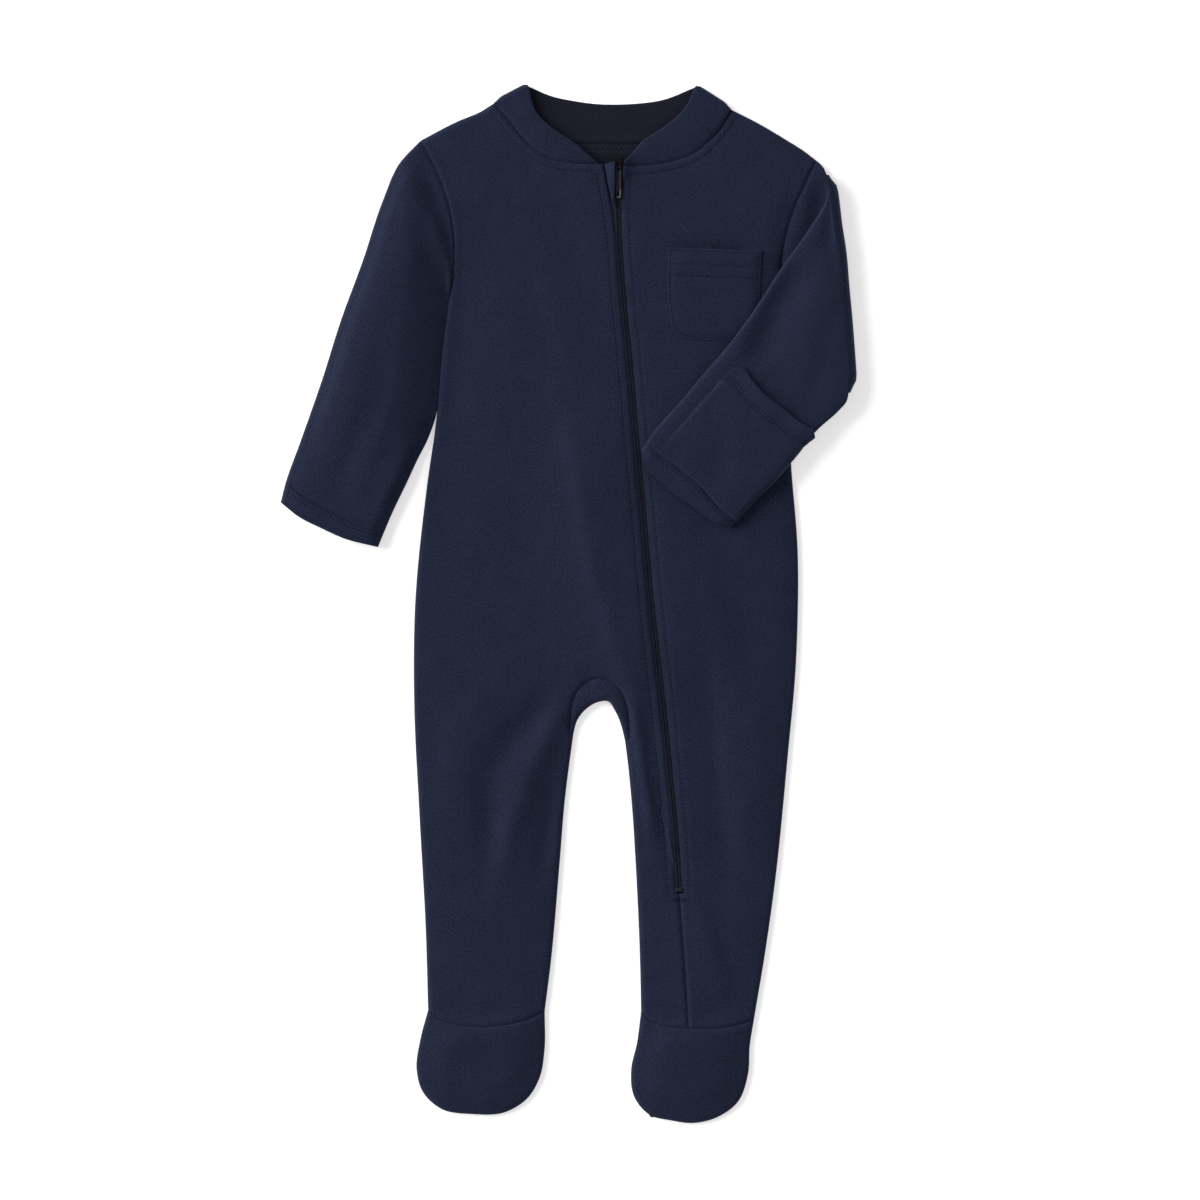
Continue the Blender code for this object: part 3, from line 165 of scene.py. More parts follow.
FOREARM_LOWER = [(168.4, 126.4), (167.4, 121.6), (162.8, 116), (150.8, 105.2), (140.2, 93.9),
    (123.6, 74.6), (110.4, 61.3), (97.8, 45.9)]
CUFF_LEFT = [(44.1, 92.1), (46.8, 81.3), (58.2, 69.9), (75, 57.9), (87, 49.5), (97.8, 45.9)]

COLLAR_TIP_RIGHT, COLLAR_TIP_LEFT = (-23.6, 310.2), (76, 309.6)
COLLAR_FOOT_RIGHT, COLLAR_FOOT_LEFT = (-43.8, 299.7), (97.4, 295.8)
COLLAR_FREE_RIGHT = [(16.8, 265.6), (11.2, 270.3), (4.2, 276.3), (-6, 283.1), (-14.8, 290.1),
    (-19.8, 296.5), COLLAR_TIP_RIGHT]
COLLAR_FREE_LEFT = [(33.6, 265.3), (38.2, 270.1), (44.2, 277.1), (57, 285.6), (65.2, 292.1),
    (72, 300.3), COLLAR_TIP_LEFT]
COLLAR_FREE_BACK = [COLLAR_TIP_RIGHT, (-9.8, 304.4), (3, 301.6), (17.2, 299.7), (30, 299.4),
    (42, 300), (56.2, 302), COLLAR_TIP_LEFT]

POCKET = [(59.7, 213.9), (116.4, 211.8), (115.4, 185), (114.6, 169.5), (111.5, 162), (104.5, 158.3),
    (91, 157.6), (77.4, 158.2), (67.4, 160.2), (62.2, 166), (60.4, 176)]
POCKET_WALL = 0.6
POCKET_MOUTH = [(height, width, 1.5, [(59, 213.5), (88, 212.5), (117, 211.4)])
                for height, width in ((-1, 6), (-1.2, 2.8))]      # hollow above its top edge
POCKET_ROWS = (9.8, 16.6)        # stitch rows of the pocket hem, below its top edge
POCKET_STITCH = 1.9              # and of its sides, in from its edge
GARAGE = [(21.9, 263.6), (28.3, 265.8), (28.35, 257), (28.2, 247), (26.9, 238.4), (24.4, 249.8)]
MITTEN_SIDE = 0.15               # share across the forearm where the left flap's side is sewn
# Edges of the left flap: share across the forearm, share along it
MITTEN_FREE = [(0.15, 0.600), (0.18, 0.572), (0.215, 0.555), (0.33, 0.538), (0.52, 0.500),
    (0.70, 0.438), (0.925, 0.332), (1, 0.272)]
MITTEN_SEAM = [(0, 0.974), (0.035, 0.967), (0.18, 0.940), (0.33, 0.924), (0.5, 0.919),
    (0.655, 0.922), (0.83, 0.935), (0.985, 0.952), (1, 0.954)]
FOREARM_MIDDLE = [(170, 190), (71, 68)]
FOREARM_PRESS, FOREARM_PRESS_REACH, FOREARM_DROP = 1.1, 55, 1.2

# Folds: height (a trough is negative), width on the left and on the right of its line, line
FRONT_FOLDS = [
    (3.2, 80, 26, [(-6, 138), (4, 96), (10, 58), (15, 34), (19, 12), (26, -8), (32, -30), (40, -54),
        (47, -84)]),
    (2.3, 60, 8, [(-3, 138), (1, 118), (6, 90), (11, 58), (15, 34), (19, 12), (26, -8), (32, -30),
        (40, -54), (47, -84)]),
    (-1.5, 14, 34, [(32, 130), (38, 90), (43, 50), (47, 10), (52, -30), (57, -70), (62, -110)]),
    (-1.7, 5.5, 5, [(45, -56), (50, -90), (55, -120), (59, -156)]),
    (1.9, 6, 5, [(38, -46), (41, -70), (45, -98), (50, -128), (54, -154)]),
    (-2, 9, 8, [(8, -44), (-20, -68), (-45, -96), (-47, -130), (-50, -170)]),
    (2, 8, 8, [(6, -38), (-3, -56), (-12, -78), (-24, -104), (-34, -136), (-40, -170)]),
    (0.8, 12, 8, [(-40, -40), (-66, -80), (-72, -130)]),
    (-1.4, 6, 6, [(-5, -100), (-12, -136), (-17, -166)]),
    (-1.9, 8, 15, [(80, -10), (84, -50), (88, -98), (92, -140), (96, -178)]),
    (0.8, 10, 10, [(112, -40), (114, -90), (108, -150)]),
    (0.8, 5, 9, [(74, -170), (84, -198), (93, -228)]),
    (-1, 13, 13, [(84, 60), (100, 10), (112, -60)]),
    (-1.8, 14, 6, [(138, 250), (131, 222), (128, 190)]),
    (-0.8, 10, 14, [(-64, 200), (-70, 150), (-72, 100)]),
    (0.7, 16, 16, [(-36, 210), (-42, 120), (-58, 30)]),
    (-0.6, 14, 14, [(-74, 14), (-40, -14), (0, -24)]),
    (-0.6, 12, 12, [(-30, 262), (-6, 236), (14, 190), (16, 140)]),
    (-0.6, 6, 7, [(-80, -238), (-60, -245), (-34, -243)]),
    (-0.6, 6, 7, [(52, -244), (76, -247), (104, -243)]),
    (0.7, 9, 9, [(-78, -268), (-58, -261), (-28, -266)]),
    (0.7, 9, 9, [(48, -268), (74, -265), (100, -272)]),
    (-0.7, 10, 10, [(-72, -290), (-52, -276), (-34, -288)]),
]
ARM_FOLDS = [
    (0.7, 14, 12, [(-98, 250), (-110, 206), (-132, 140), (-146, 100)]),
    (-2, 15, 8, [(-93, 262), (-86, 240), (-83, 216), (-78, 190)]),
    (-0.7, 9, 8, [(-108, 140), (-124, 100), (-138, 66)]),
    (-0.7, 8, 7, [(-96, 128), (-106, 100), (-116, 70)]),
    (0.6, 8, 8, [(-116, 104), (-130, 64)]),
]
FOREARM_FOLDS = [
    (-1.4, 16, 6, [(161, 250), (160, 230), (157, 208)]),
    (-2.5, 11, 8, [(144, 206), (127, 180), (117, 158), (107, 134)]),
    (1, 12, 12, [(100, 148), (112, 124), (128, 104)]),
    (0.6, 10, 10, [(156, 196), (146, 150), (140, 112)]),
    (-0.6, 8, 8, [(160, 176), (150, 140), (130, 108)]),
    (-0.5, 8, 8, [(86, 118), (92, 96), (96, 70)]),
]
ELBOW_FOLDS = [
    (-2, 11, 7, [(151, 260), (149, 238), (143, 215), (140, 190)]),
]
BACK_FOLDS = [
    (0.9, 9, 12, [(-40, 180), (-10, 60), (10, -30)]),
    (0.8, 10, 8, [(100, 200), (80, 90), (60, 0)]),
    (0.7, 7, 9, [(-70, 60), (-40, -40), (-50, -170)]),
    (0.7, 8, 8, [(110, 20), (90, -90), (80, -190)]),
    (0.6, 8, 8, [(-60, 240), (20, 230), (100, 244)]),
]


# ---- lines and plans
def unit(vectors):
    """The same directions, each with a length of one."""
    return vectors / np.linalg.norm(vectors, axis=-1, keepdims=True)


def leftward(along):
    """Directions a quarter turn to the left of others."""
    return np.stack([-along[..., 1], along[..., 0]], axis=-1)


def walk(points):
    """Distance walked along a line at each of its points."""
    return np.concatenate([[0.0], np.cumsum(np.linalg.norm(np.diff(points, axis=0), axis=1))])


def curve(points):
    """A smooth line through points, as a function of the share of its length from 0 to 1."""
    points = np.array(points, float)
    stations, steps = walk(points), np.diff(points, axis=0)
    spans = np.linalg.norm(steps, axis=1)
    slopes = steps / spans[:, None]
    weights = (spans[:-1] / (spans[:-1] + spans[1:]))[:, None]
    middle = slopes[:-1] * (1 - weights) + slopes[1:] * weights
    tangents = np.vstack([slopes[:1], middle, slopes[-1:]])

    def at(share):
        reach = np.clip(np.atleast_1d(share), 0.0, 1.0) * stations[-1]
        span = np.clip(np.searchsorted(stations, reach, side="right") - 1, 0, len(spans) - 1)
        f = ((reach - stations[span]) / spans[span])[:, None]
        length, start, end = spans[span][:, None], points[span], points[span + 1]
        return ((2 * f**3 - 3 * f**2 + 1) * start + (f**3 - 2 * f**2 + f) * length * tangents[span]
                + (3 * f**2 - 2 * f**3) * end + (f**3 - f**2) * length * tangents[span + 1])

    at.length = stations[-1]
    return at


def sample(points, step=EDGE_STEP):
    """Points about a step apart along a smooth line."""
    line = curve(points)
    return line(np.linspace(0.0, 1.0, max(2, math.ceil(line.length / step) + 1)))


def edge_line(start, end, count=40):
    """Evenly spaced points on a straight line."""
    share = np.linspace(0.0, 1.0, count)[:, None]
    return np.array(start) * (1 - share) + np.array(end) * share


def join(*lines):
    """One closed, counter-clockwise outline from lines that meet, whichever way each runs."""
    outline = []
    for line in lines:
        line = sample(line) if isinstance(line, list) else line
        if outline and math.dist(line[-1], outline[-1]) < math.dist(line[0], outline[-1]):
            line = line[::-1]
        for point in line:
            if not outline or math.dist(point, outline[-1]) > MEET:
                outline.append(tuple(point))
    if math.dist(outline[0], outline[-1]) < MEET:
        outline.pop()
    outline = np.array(outline)
    return outline if signed_area(outline) > 0 else outline[::-1]


def signed_area(outline):
    ahead = np.roll(outline, -1, axis=0)
    return np.sum(outline[:, 0] * ahead[:, 1] - ahead[:, 0] * outline[:, 1]) / 2


def inward(outline):
    """Mitred inward direction at each point of a closed, counter-clockwise outline."""
    normal = leftward(unit(np.roll(outline, -1, axis=0) - outline))
    mean = unit(normal + np.roll(normal, 1, axis=0))
    return mean / np.clip(np.sum(mean * normal, axis=1), 0.4, 1.0)[:, None]


def beside(line, distance):
    """A line moved to its left by a distance, or to its right by a negative one."""
    return line + leftward(unit(np.gradient(line, axis=0))) * distance


def middle_swell(count):
    """0 at both ends of a line and 1 in its middle."""
    return np.sqrt(np.sin(math.pi * np.linspace(0.0, 1.0, count)))


def bulged(line, distance):
    """A line moved sideways in its middle; its ends stay where they are."""
    return line + (beside(line, distance) - line) * middle_swell(len(line))[:, None]


def nearest(points, lines):
    """Distance to the nearest line, the way off it, how far along it, and on which side."""
    distance = np.full(len(points), np.inf)
    away = np.zeros((len(points), 2))
    walked, left = np.zeros(len(points)), np.ones(len(points))
    for line in lines:
        line = np.asarray(line, float)
        start, span = line[:-1], np.diff(line, axis=0)
        length, reach = np.linalg.norm(span, axis=1), walk(line)
        for first in range(0, len(points), CHUNK):
            part = slice(first, first + CHUNK)
            offset = points[part, None] - start
            share = np.clip(np.sum(offset * span, axis=2) / length**2, 0, 1)
            gap = offset - share[:, :, None] * span
            far = np.linalg.norm(gap, axis=2)
            rows, pick = np.arange(len(far)), np.argmin(far, axis=1)
            closer = far[rows, pick] < distance[part]
            rows, pick = rows[closer], pick[closer]
            place, off, along = rows + first, gap[rows, pick], span[pick]
            distance[place], away[place] = far[rows, pick], off
            walked[place] = reach[pick] + share[rows, pick] * length[pick]
            cross = along[:, 0] * off[:, 1] - along[:, 1] * off[:, 0]
            left[place] = np.where(cross >= 0, 1.0, -1.0)
    return distance, away / np.maximum(distance, 1e-9)[:, None], walked, left


def gap_to(points, *lines):
    return nearest(points, lines)[0]


def inside(points, outline):
    """Which points lie inside a closed outline."""
    x0, y0 = outline.T
    x1, y1 = np.roll(x0, -1), np.roll(y0, -1)
    within = np.zeros(len(points), bool)
    for first in range(0, len(points), CHUNK):
        part = slice(first, first + CHUNK)
        x, y = points[part, 0:1], points[part, 1:2]
        rising = (y0 > y) != (y1 > y)
        crossing = (x1 - x0) * (y - y0) / np.where(y1 == y0, 1e-9, y1 - y0) + x0
        within[part] = np.sum(rising & (x < crossing), axis=1) % 2 == 1
    return within


def patch(top, bottom, start, end):
    """A four-sided plan between two curves across and two along: patch(u along, v across)."""
    top, bottom, start, end = map(curve, (top, bottom, start, end))

    def at(u, v):
        u, v = np.broadcast_arrays(np.atleast_1d(u), np.atleast_1d(v))
        a, b = u[:, None], v[:, None]
        corners = ((1 - a) * ((1 - b) * top(0) + b * top(1))
                   + a * ((1 - b) * bottom(0) + b * bottom(1)))
        return (1 - a) * top(v) + a * bottom(v) + (1 - b) * start(u) + b * end(u) - corners

    at.length = (start.length + end.length) / 2
    return at


def ease(share):
    """A soft step from 0 to 1."""
    share = np.clip(share, 0.0, 1.0)
    return share * share * (3 - 2 * share)


def hump(distance, width):
    return np.exp(-(distance / width) ** 2)


def edge_turn(distance, reach):
    """How far cloth leans over at a rounded edge, and how far it has stood up: both 0 to 1."""
    lean = np.clip(1 - distance / reach, 0.0, 1.0)
    return lean, np.sqrt(1 - lean**2)


def waves(plan, size, seed, count=10):
    """Smooth unevenness between about -1 and 1, its waves about size long."""
    random = np.random.default_rng(seed)
    heading, phase = random.uniform(0, 2 * math.pi, (2, count))
    pace = 2 * math.pi / size * random.uniform(0.6, 1.3, count)
    along = plan[:, 0:1] * np.cos(heading) + plan[:, 1:2] * np.sin(heading)
    return np.sum(np.sin(along * pace + phase), axis=1) / math.sqrt(2 * count)


def folds(plan, table):
    """Height that the folds of a table add at each plan point."""
    height = np.zeros(len(plan))
    for rise, left_width, right_width, points in table:
        line = sample(points, FOLD_STEP)
        distance, _, walked, left = nearest(plan, [line])
        share = walked / walk(line)[-1]
        ends = 0.25 + 0.75 * ease(share / 0.3) * ease((1 - share) / 0.3)
        height += rise * hump(distance, np.where(left > 0, left_width, right_width)) * ends
    return height


# ---- meshes
def mesh_from(name, points, faces, grain=None):
    """A closed mesh from points in millimetres, with the knit's directions as its UV map."""
    mesh = bpy.data.meshes.new(name)
    mesh.from_pydata([tuple(p) for p in np.asarray(points) * MM], [], faces)
    work = bmesh.new()
    work.from_mesh(mesh)
    bmesh.ops.recalc_face_normals(work, faces=work.faces)
    work.to_mesh(mesh)
    work.free()
    mesh.shade_smooth()
    mesh.set_sharp_from_angle(angle=math.radians(50))
    if grain is not None:
        layer = mesh.uv_layers.new(name="grain")
        corners = np.empty(len(mesh.loops), int)
        mesh.loops.foreach_get("vertex_index", corners)
        layer.data.foreach_set("uv", (np.asarray(grain)[corners] * MM).astype(np.float32).ravel())
    return mesh


def grid_faces(rows, columns, closed, first=0):
    return [(first + r * columns + c, first + r * columns + (c + 1) % columns,
             first + (r + 1) * columns + (c + 1) % columns, first + (r + 1) * columns + c)
            for r in range(rows - 1) for c in range(columns if closed else columns - 1)]


def wall_grid(name, outer, inner, closed, grain):
    """A wall between two grids of points; closed joins the last column to the first."""
    outer, inner = np.array(outer), np.array(inner)
    rows, columns = outer.shape[:2]
    skip = rows * columns
    faces = grid_faces(rows, columns, closed) + grid_faces(rows, columns, closed, skip)
    rims = [(r * columns + c, r * columns + (c + 1) % columns)
            for r in (0, rows - 1) for c in range(columns if closed else columns - 1)]
    if not closed:
        rims += [(r * columns + c, (r + 1) * columns + c)
                 for c in (0, columns - 1) for r in range(rows - 1)]
    faces += [(a, b, b + skip, a + skip) for a, b in rims]
    points = np.concatenate([outer.reshape(-1, 3), inner.reshape(-1, 3)])
    return mesh_from(name, points, faces, np.tile(np.asarray(grain, float).reshape(-1, 2), (2, 1)))


def plan_triangles(outline, rings, lattice):
    """Plan points and triangles that fill an outline: rings beside its edge, a lattice within."""
    count = len(outline)
    points, edges = list(outline), [(k, (k + 1) % count) for k in range(count)]
    toward, closed = inward(outline), np.vstack([outline, outline[:1]])
    for depth in rings:
        ring = outline + toward * depth
        points.extend(ring[inside(ring, outline) & (gap_to(ring, closed) > 0.96 * depth)])
    low, high = outline.min(axis=0), outline.max(axis=0)
    row_step = lattice * math.sqrt(0.75)
    columns = math.ceil((high[0] - low[0]) / lattice) + 3
    for row in range(math.floor(low[1] / row_step), math.ceil(high[1] / row_step) + 1):
        xs = (math.floor(low[0] / lattice) - 0.5 * (row % 2) + np.arange(columns)) * lattice
        line = np.column_stack([xs, np.full(columns, row * row_step)])
        line = line[inside(line, outline)]
        points.extend(line[gap_to(line, closed) > rings[-1] + 0.5 * lattice])
    result = delaunay_2d_cdt([Vector(p) for p in points], edges, [], 1, 1e-5)
    return np.array([tuple(p) for p in result[0]]), [tuple(f) for f in result[2]]


def raised(plan, height):
    return np.column_stack([plan, height])


def panel(name, outline, skins, rings=EDGE_RINGS, lattice=LATTICE):
    """A cloth panel: its plan is filled, then skins gives each plan point's two surfaces."""
    plan, triangles = plan_triangles(outline + inward(outline) * SEAM_HALF, rings, lattice)
    edges = [(t[k], t[(k + 1) % 3]) for t in triangles for k in range(3)]
    shared, count = set(edges), len(plan)
    faces = triangles + [tuple(count + p for p in reversed(t)) for t in triangles]
    faces += [(b, a, count + a, count + b) for a, b in edges if (b, a) not in shared]
    return mesh_from(name, np.concatenate(skins(plan)), faces, np.tile(plan, (2, 1)))


# ---- materials
class Shade:
    """A socket of a material's nodes. Arithmetic on it adds Math nodes."""

    def __init__(self, tree, socket=None):
        self.tree, self.socket = tree, socket

    def add(self, kind, inputs=None, out=0, **settings):
        """A new node of any kind: its settings first, then its inputs. Returns one output."""
        node = self.tree.nodes.new("ShaderNode" + kind)
        for name, value in settings.items():
            setattr(node, name, value)
        for name, value in (inputs or {}).items():
            if isinstance(value, Shade):
                self.tree.links.new(value.socket, node.inputs[name])
            else:
                node.inputs[name].default_value = value
        return Shade(self.tree, node.outputs[out])

    def maths(self, operation, *values):
        return self.add("Math", dict(enumerate((self, *values))), operation=operation)

    def __add__(self, other):
        return self.maths("ADD", other)

    def __sub__(self, other):
        return self.maths("SUBTRACT", other)

    def __rsub__(self, other):
        return self.add("Math", {0: other, 1: self}, operation="SUBTRACT")

    def __mul__(self, other):
        return self.maths("MULTIPLY", other)

    __radd__, __rmul__ = __add__, __mul__

    def wave(self):
        """A wave from 0 to 1 that rises and falls once per unit."""
        return (self * (2 * math.pi)).maths("SINE") * 0.5 + 0.5

    def noise(self, scale, detail=2.0, roughness=0.5):
        """Random unevenness about 0.5, at this place."""
        return self.add("TexNoise", {"Vector": self, "Scale": scale, "Detail": detail,
                                     "Roughness": roughness})

    def part(self, axis):
        return self.add("SeparateXYZ", {0: self}, out=axis)

    def clamped(self):
        return self.add("Clamp", {0: self})

    def mix(self, low, high):
        """A colour between two, with this value as the share of the second."""
        return self.add("Mix", {0: self, 6: low, 7: high}, out=2, data_type="RGBA")

    def tints(self, colour, low, high):
        """A colour from its darker to its lighter tint."""
        return self.mix(*((*(c * tint for c in colour), 1.0) for tint in (low, high)))


def new_material(name, roughness, **fixed):
    """A Principled material with fixed values, a Shade of its tree, and a way to link sockets."""
    material = bpy.data.materials.new(name)
    material.use_nodes = True
    tree = material.node_tree
    sockets = tree.nodes["Principled BSDF"].inputs
    for socket, value in {"Roughness": roughness, **fixed}.items():
        sockets[socket.replace("_", " ")].default_value = value

    def attach(**values):
        for socket, value in values.items():
            tree.links.new(value.socket, sockets[socket.replace("_", " ")])

    return material, Shade(tree), attach


WALE, COURSE = 0.72, 0.58        # width and height of one knitted stitch


def knit_material(name, colour, contrast=0.42):
    """Cotton jersey: columns of V stitches, uneven yarn, fuzz, and soft mottling."""
    material, shade, attach = new_material(
        name, 0.9, Sheen_Weight=0.12, Sheen_Roughness=0.5, Sheen_Tint=(0.6, 0.68, 1.0, 1.0),
        Specular_IOR_Level=0.18)
    grain = shade.add("UVMap", uv_map="grain")
    uneven, fuzz = grain.noise(260.0), grain.noise(2600.0, 3.0)
    column = grain.part(0) * (1000 / WALE) + uneven * 0.5
    leg = (column.maths("FRACT") - 0.5).maths("ABSOLUTE")
    row = grain.part(1) * (1000 / COURSE) + leg * 1.1 + uneven * 0.4
    ribs = 1.0 - (leg * 2.0).maths("POWER", 2.5)
    height = row.wave() * 0.45 + ribs * 0.55 + fuzz * 0.5
    stretch = shade.add("VectorMath", {0: grain, 1: (700.0, 110.0, 1.0)}, operation="MULTIPLY")
    share = (0.5 + (grain.noise(720.0, 3.0, 0.65) - 0.5) * 3.2 + (grain.noise(1500.0) - 0.5) * 4.0
             + (stretch.noise(1.0) - 0.5) * 0.3 + (grain.noise(70.0) - 0.5) * 0.5
             + (height - 0.7) * 0.25)
    attach(Base_Color=share.clamped().tints(colour, 1 - contrast, 1 + contrast),
           Roughness=0.8 + fuzz * 0.15,
           Normal=shade.add("Bump", {"Height": height, "Distance": 0.00014, "Strength": 0.8}))
    return material


def woven_material(name, colour):
    """Zip tape: a tight twill."""
    material, shade, attach = new_material(name, 0.7, Sheen_Weight=0.1)
    grain = shade.add("UVMap", uv_map="grain")
    twill = ((grain.part(0) + grain.part(1)) * 1700.0).wave()
    attach(Base_Color=(twill * 0.6 + grain.noise(900.0) * 0.4).tints(colour, 0.8, 1.25),
           Normal=shade.add("Bump", {"Height": twill, "Distance": 0.0001}))
    return material


def thread_material(name, colour):
    """Sewing thread with its twist."""
    material, shade, attach = new_material(name, 0.85, Specular_IOR_Level=0.05)
    place = shade.add("TexCoord", out=3)
    twist = shade.add("TexWave", {"Vector": place, "Scale": 900.0, "Distortion": 1.0},
                      out=1, bands_direction="DIAGONAL")
    attach(Base_Color=place.noise(500.0).tints(colour, 0.75, 1.3),
           Normal=shade.add("Bump", {"Height": twist, "Distance": 0.00006}))
    return material


def moulded_material(name, colour, roughness, specular):
    """Smooth nylon, or metal under dark enamel, with faint scuffs."""
    material, shade, attach = new_material(name, roughness, Specular_IOR_Level=specular)
    place = shade.add("TexCoord", out=3)
    scuffs = place.noise(1500.0, 3.0)
    attach(Base_Color=place.noise(200.0).tints(colour, 0.8, 1.25),
           Roughness=roughness - 0.08 + scuffs * 0.16,
           Normal=shade.add("Bump", {"Height": scuffs, "Distance": 0.00002}))
    return material


def pull_material(mesh):
    """The pull's dark enamel, with a painted highlight along one edge and across its end, and its
    small slot painted near-black as shade.
    """
    material, shade, attach = new_material("pull_enamel", 0.35, Specular_IOR_Level=0.22)
    place = shade.add("TexCoord", out=3)
    from_edge = max(v.co.x for v in mesh.vertices) * 1000.0 - place.part(0) * 1000.0
    from_end = place.part(1) * 1000.0 - min(v.co.y for v in mesh.vertices) * 1000.0

    def below(value, limit, soft=0.25):
        return shade.add("MapRange", {0: value, 1: limit + soft, 2: limit - soft},
                         interpolation_type="SMOOTHSTEP")

    # painted shade: the slot is coloured near-black, not cut through
    slot = (below(from_end, 4.4) * below(0.8 - from_end, 0.0) * below(1.15 - from_edge, 0.0)
            * below(from_edge, 2.5))
    # painted highlight along the edge and across the tip
    tip = below(from_end, 4.8)
    edge_highlight = below(from_edge, 1.05) * (tip * 0.75 + 0.25) + tip * below(from_end, 0.8)
    bright = edge_highlight.clamped().mix((0.006, 0.007, 0.011, 1.0), (0.105, 0.109, 0.118, 1.0))
    attach(Base_Color=slot.mix(bright, (0.001, 0.001, 0.002, 1.0)))
    return material


KNIT = knit_material("navy_knit", (0.0085, 0.0125, 0.0345))
# A darker copy of the knit for the garment's inside: the cloth's inner side, darkened further as
# painted shade where it shows in the neck opening.
KNIT_INSIDE_SHADED = knit_material("navy_knit_inside_painted_shade", (0.0048, 0.0058, 0.0140))
TAPE = woven_material("navy_tape", (0.0065, 0.0090, 0.0210))
THREAD = thread_material("navy_thread", (0.0054, 0.0075, 0.0185))
THREAD_LIGHT = thread_material("grey_thread", (0.030, 0.034, 0.048))
COIL = moulded_material("navy_nylon", (0.0100, 0.0135, 0.0290), 0.5, 0.12)
ENAMEL = moulded_material("dark_enamel", (0.0125, 0.0135, 0.0180), 0.35, 0.22)
# The slider's enamel is a much darker copy: painted shade where its top shows in the gap under the
# tab.
SLIDER_ENAMEL_SHADED = moulded_material("slider_enamel_painted_shade", (0.0035, 0.0042, 0.0065), 0.5, 0.10)


def new_object(name, data, place=(0.0, 0.0, 0.0)):
    item = bpy.data.objects.new(name, data)
    item.location = place
    bpy.context.scene.collection.objects.link(item)
    return item


def place_piece(name, mesh, material, nodes=()):
    """Link a finished mesh, give it its material, and let it ride with the garment."""
    item = new_object(name, mesh)
    mesh.materials.append(material)
    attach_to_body(item, BODY)
    if nodes:
        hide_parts(*nodes)
    return item


def wall_piece(name, node, outer, inner, grain, closed=False):
    return place_piece(name, wall_grid(name, outer, inner, closed, grain), KNIT, [node])


def laid_piece(name, node, outline, skins, under, shown=None, material=KNIT, **fill):
    """A panel that lies flat on the piece under it (under is not used); its cut, the outline that
    shows, is measured but the result is not kept.
    """
    item = place_piece(name, panel(name, outline, skins, **fill), material, [node])
    cut = outline if shown is None else shown
    float(signed_area(cut)) * MM**2


# ---- the front's surface
SILHOUETTE = [sample(line, SIDE_STEP) for line in (
    SHOULDER_RIGHT, SIDE_RIGHT, FOOT_RIGHT, INSEAM_RIGHT, CROTCH, INSEAM_LEFT, FOOT_LEFT,
    SIDE_LEFT, SHOULDER_LEFT)]
ZIP_CENTRE = sample(ZIP_LINE)
ZIP_BELOW_MOUTH = ZIP_CENTRE[ZIP_CENTRE[:, 1] < ZIP_MOUTH_RIGHT[-1][1] - 2.0]
ZIP_EDGE_RIGHT = np.vstack([sample(ZIP_MOUTH_RIGHT), beside(ZIP_BELOW_MOUTH, 0.5 - ZIP_HALF)])
ZIP_EDGE_LEFT = np.vstack([sample(ZIP_MOUTH_LEFT), beside(ZIP_BELOW_MOUTH, ZIP_HALF - 0.3)])
SEAM_LINES = [sample(line) for line in (
    ARMHOLE_RIGHT, ARMHOLE_LEFT, NECK_SEAM_RIGHT, NECK_SEAM_LEFT, GUSSET_SEAM, ANKLE_RIGHT,
    ANKLE_LEFT_INNER, ANKLE_LEFT_OUTER, LEG_SEAM)]
ANKLE_LEFT = np.vstack([sample(ANKLE_LEFT_INNER), sample(ANKLE_LEFT_OUTER)[1:]])
BACK_GUSSET, BACK_ANKLE_RIGHT, BACK_ANKLE_LEFT = BACK_SEAMS = [
    bulged(sample(GUSSET_SEAM), 2 * BACK_LAP), bulged(sample(ANKLE_RIGHT), -2 * BACK_LAP),
    bulged(ANKLE_LEFT, -2 * BACK_LAP)]


def front_shape(plan, details=True):
    """Height of the front's outer face, how far it has turned up, and the way to its middle."""
    distance, away, _, _ = nearest(plan, SILHOUETTE)
    distance = np.maximum(distance - SEAM_HALF, 0.0)
    lean, stand = edge_turn(distance, EDGE_ROUND)
    fade = ease(distance / FOLD_FADE)
    room = AIR_AT_EDGE + AIR_MORE * (1 - np.exp(-distance / AIR_REACH))
    room += FOOT_AIR * ease((FOOT_TOP - plan[:, 1]) / 20.0) * ease(distance / 20.0)
    room += folds(plan, FRONT_FOLDS) * fade
    room = np.logaddexp(room / LEAST_ROOM, 0.0) * LEAST_ROOM
    room -= FOREARM_PRESS * ease(1 - gap_to(plan, FOREARM_MIDDLE) / FOREARM_PRESS_REACH) * fade
    room += (0.22 * waves(plan, 46.0, 3) + 0.08 * waves(plan, 15.0, 4)) * fade
    room += 0.10 * waves(plan, 12.0, 5) * hump(distance - 3.0, 3.0)
    if details:
        to_seam, _, walked, _ = nearest(plan, SEAM_LINES)
        ripple = np.sin(walked * (2 * math.pi / PUCKER_LENGTH) + 2.0 * waves(plan, 30.0, 6))
        room -= SEAM_DIP * hump(to_seam, SEAM_DIP_WIDTH)
        room -= 0.22 * hump(gap_to(plan, *SEAM_LINES[2:4]) - NECK_STITCH, 0.7)
        room += (SEAM_SWELL + PUCKER * ripple) * hump(to_seam - 3.0, 1.8)
        room += zip_welt(plan) + slider_rise(plan) + folds(plan, POCKET_MOUTH)
    return FRONT_FLOOR + (WALL + room) * stand, lean, stand, away


def slider_rise(plan):
    """The left front and the band's end lie up over the slider."""
    to_slider = gap_to(plan, SLIDER_LINE)
    return SLIDER_RISE * ease(1 - to_slider / SLIDER_REACH) * (plan[:, 0] > SLIDER_MIDDLE)


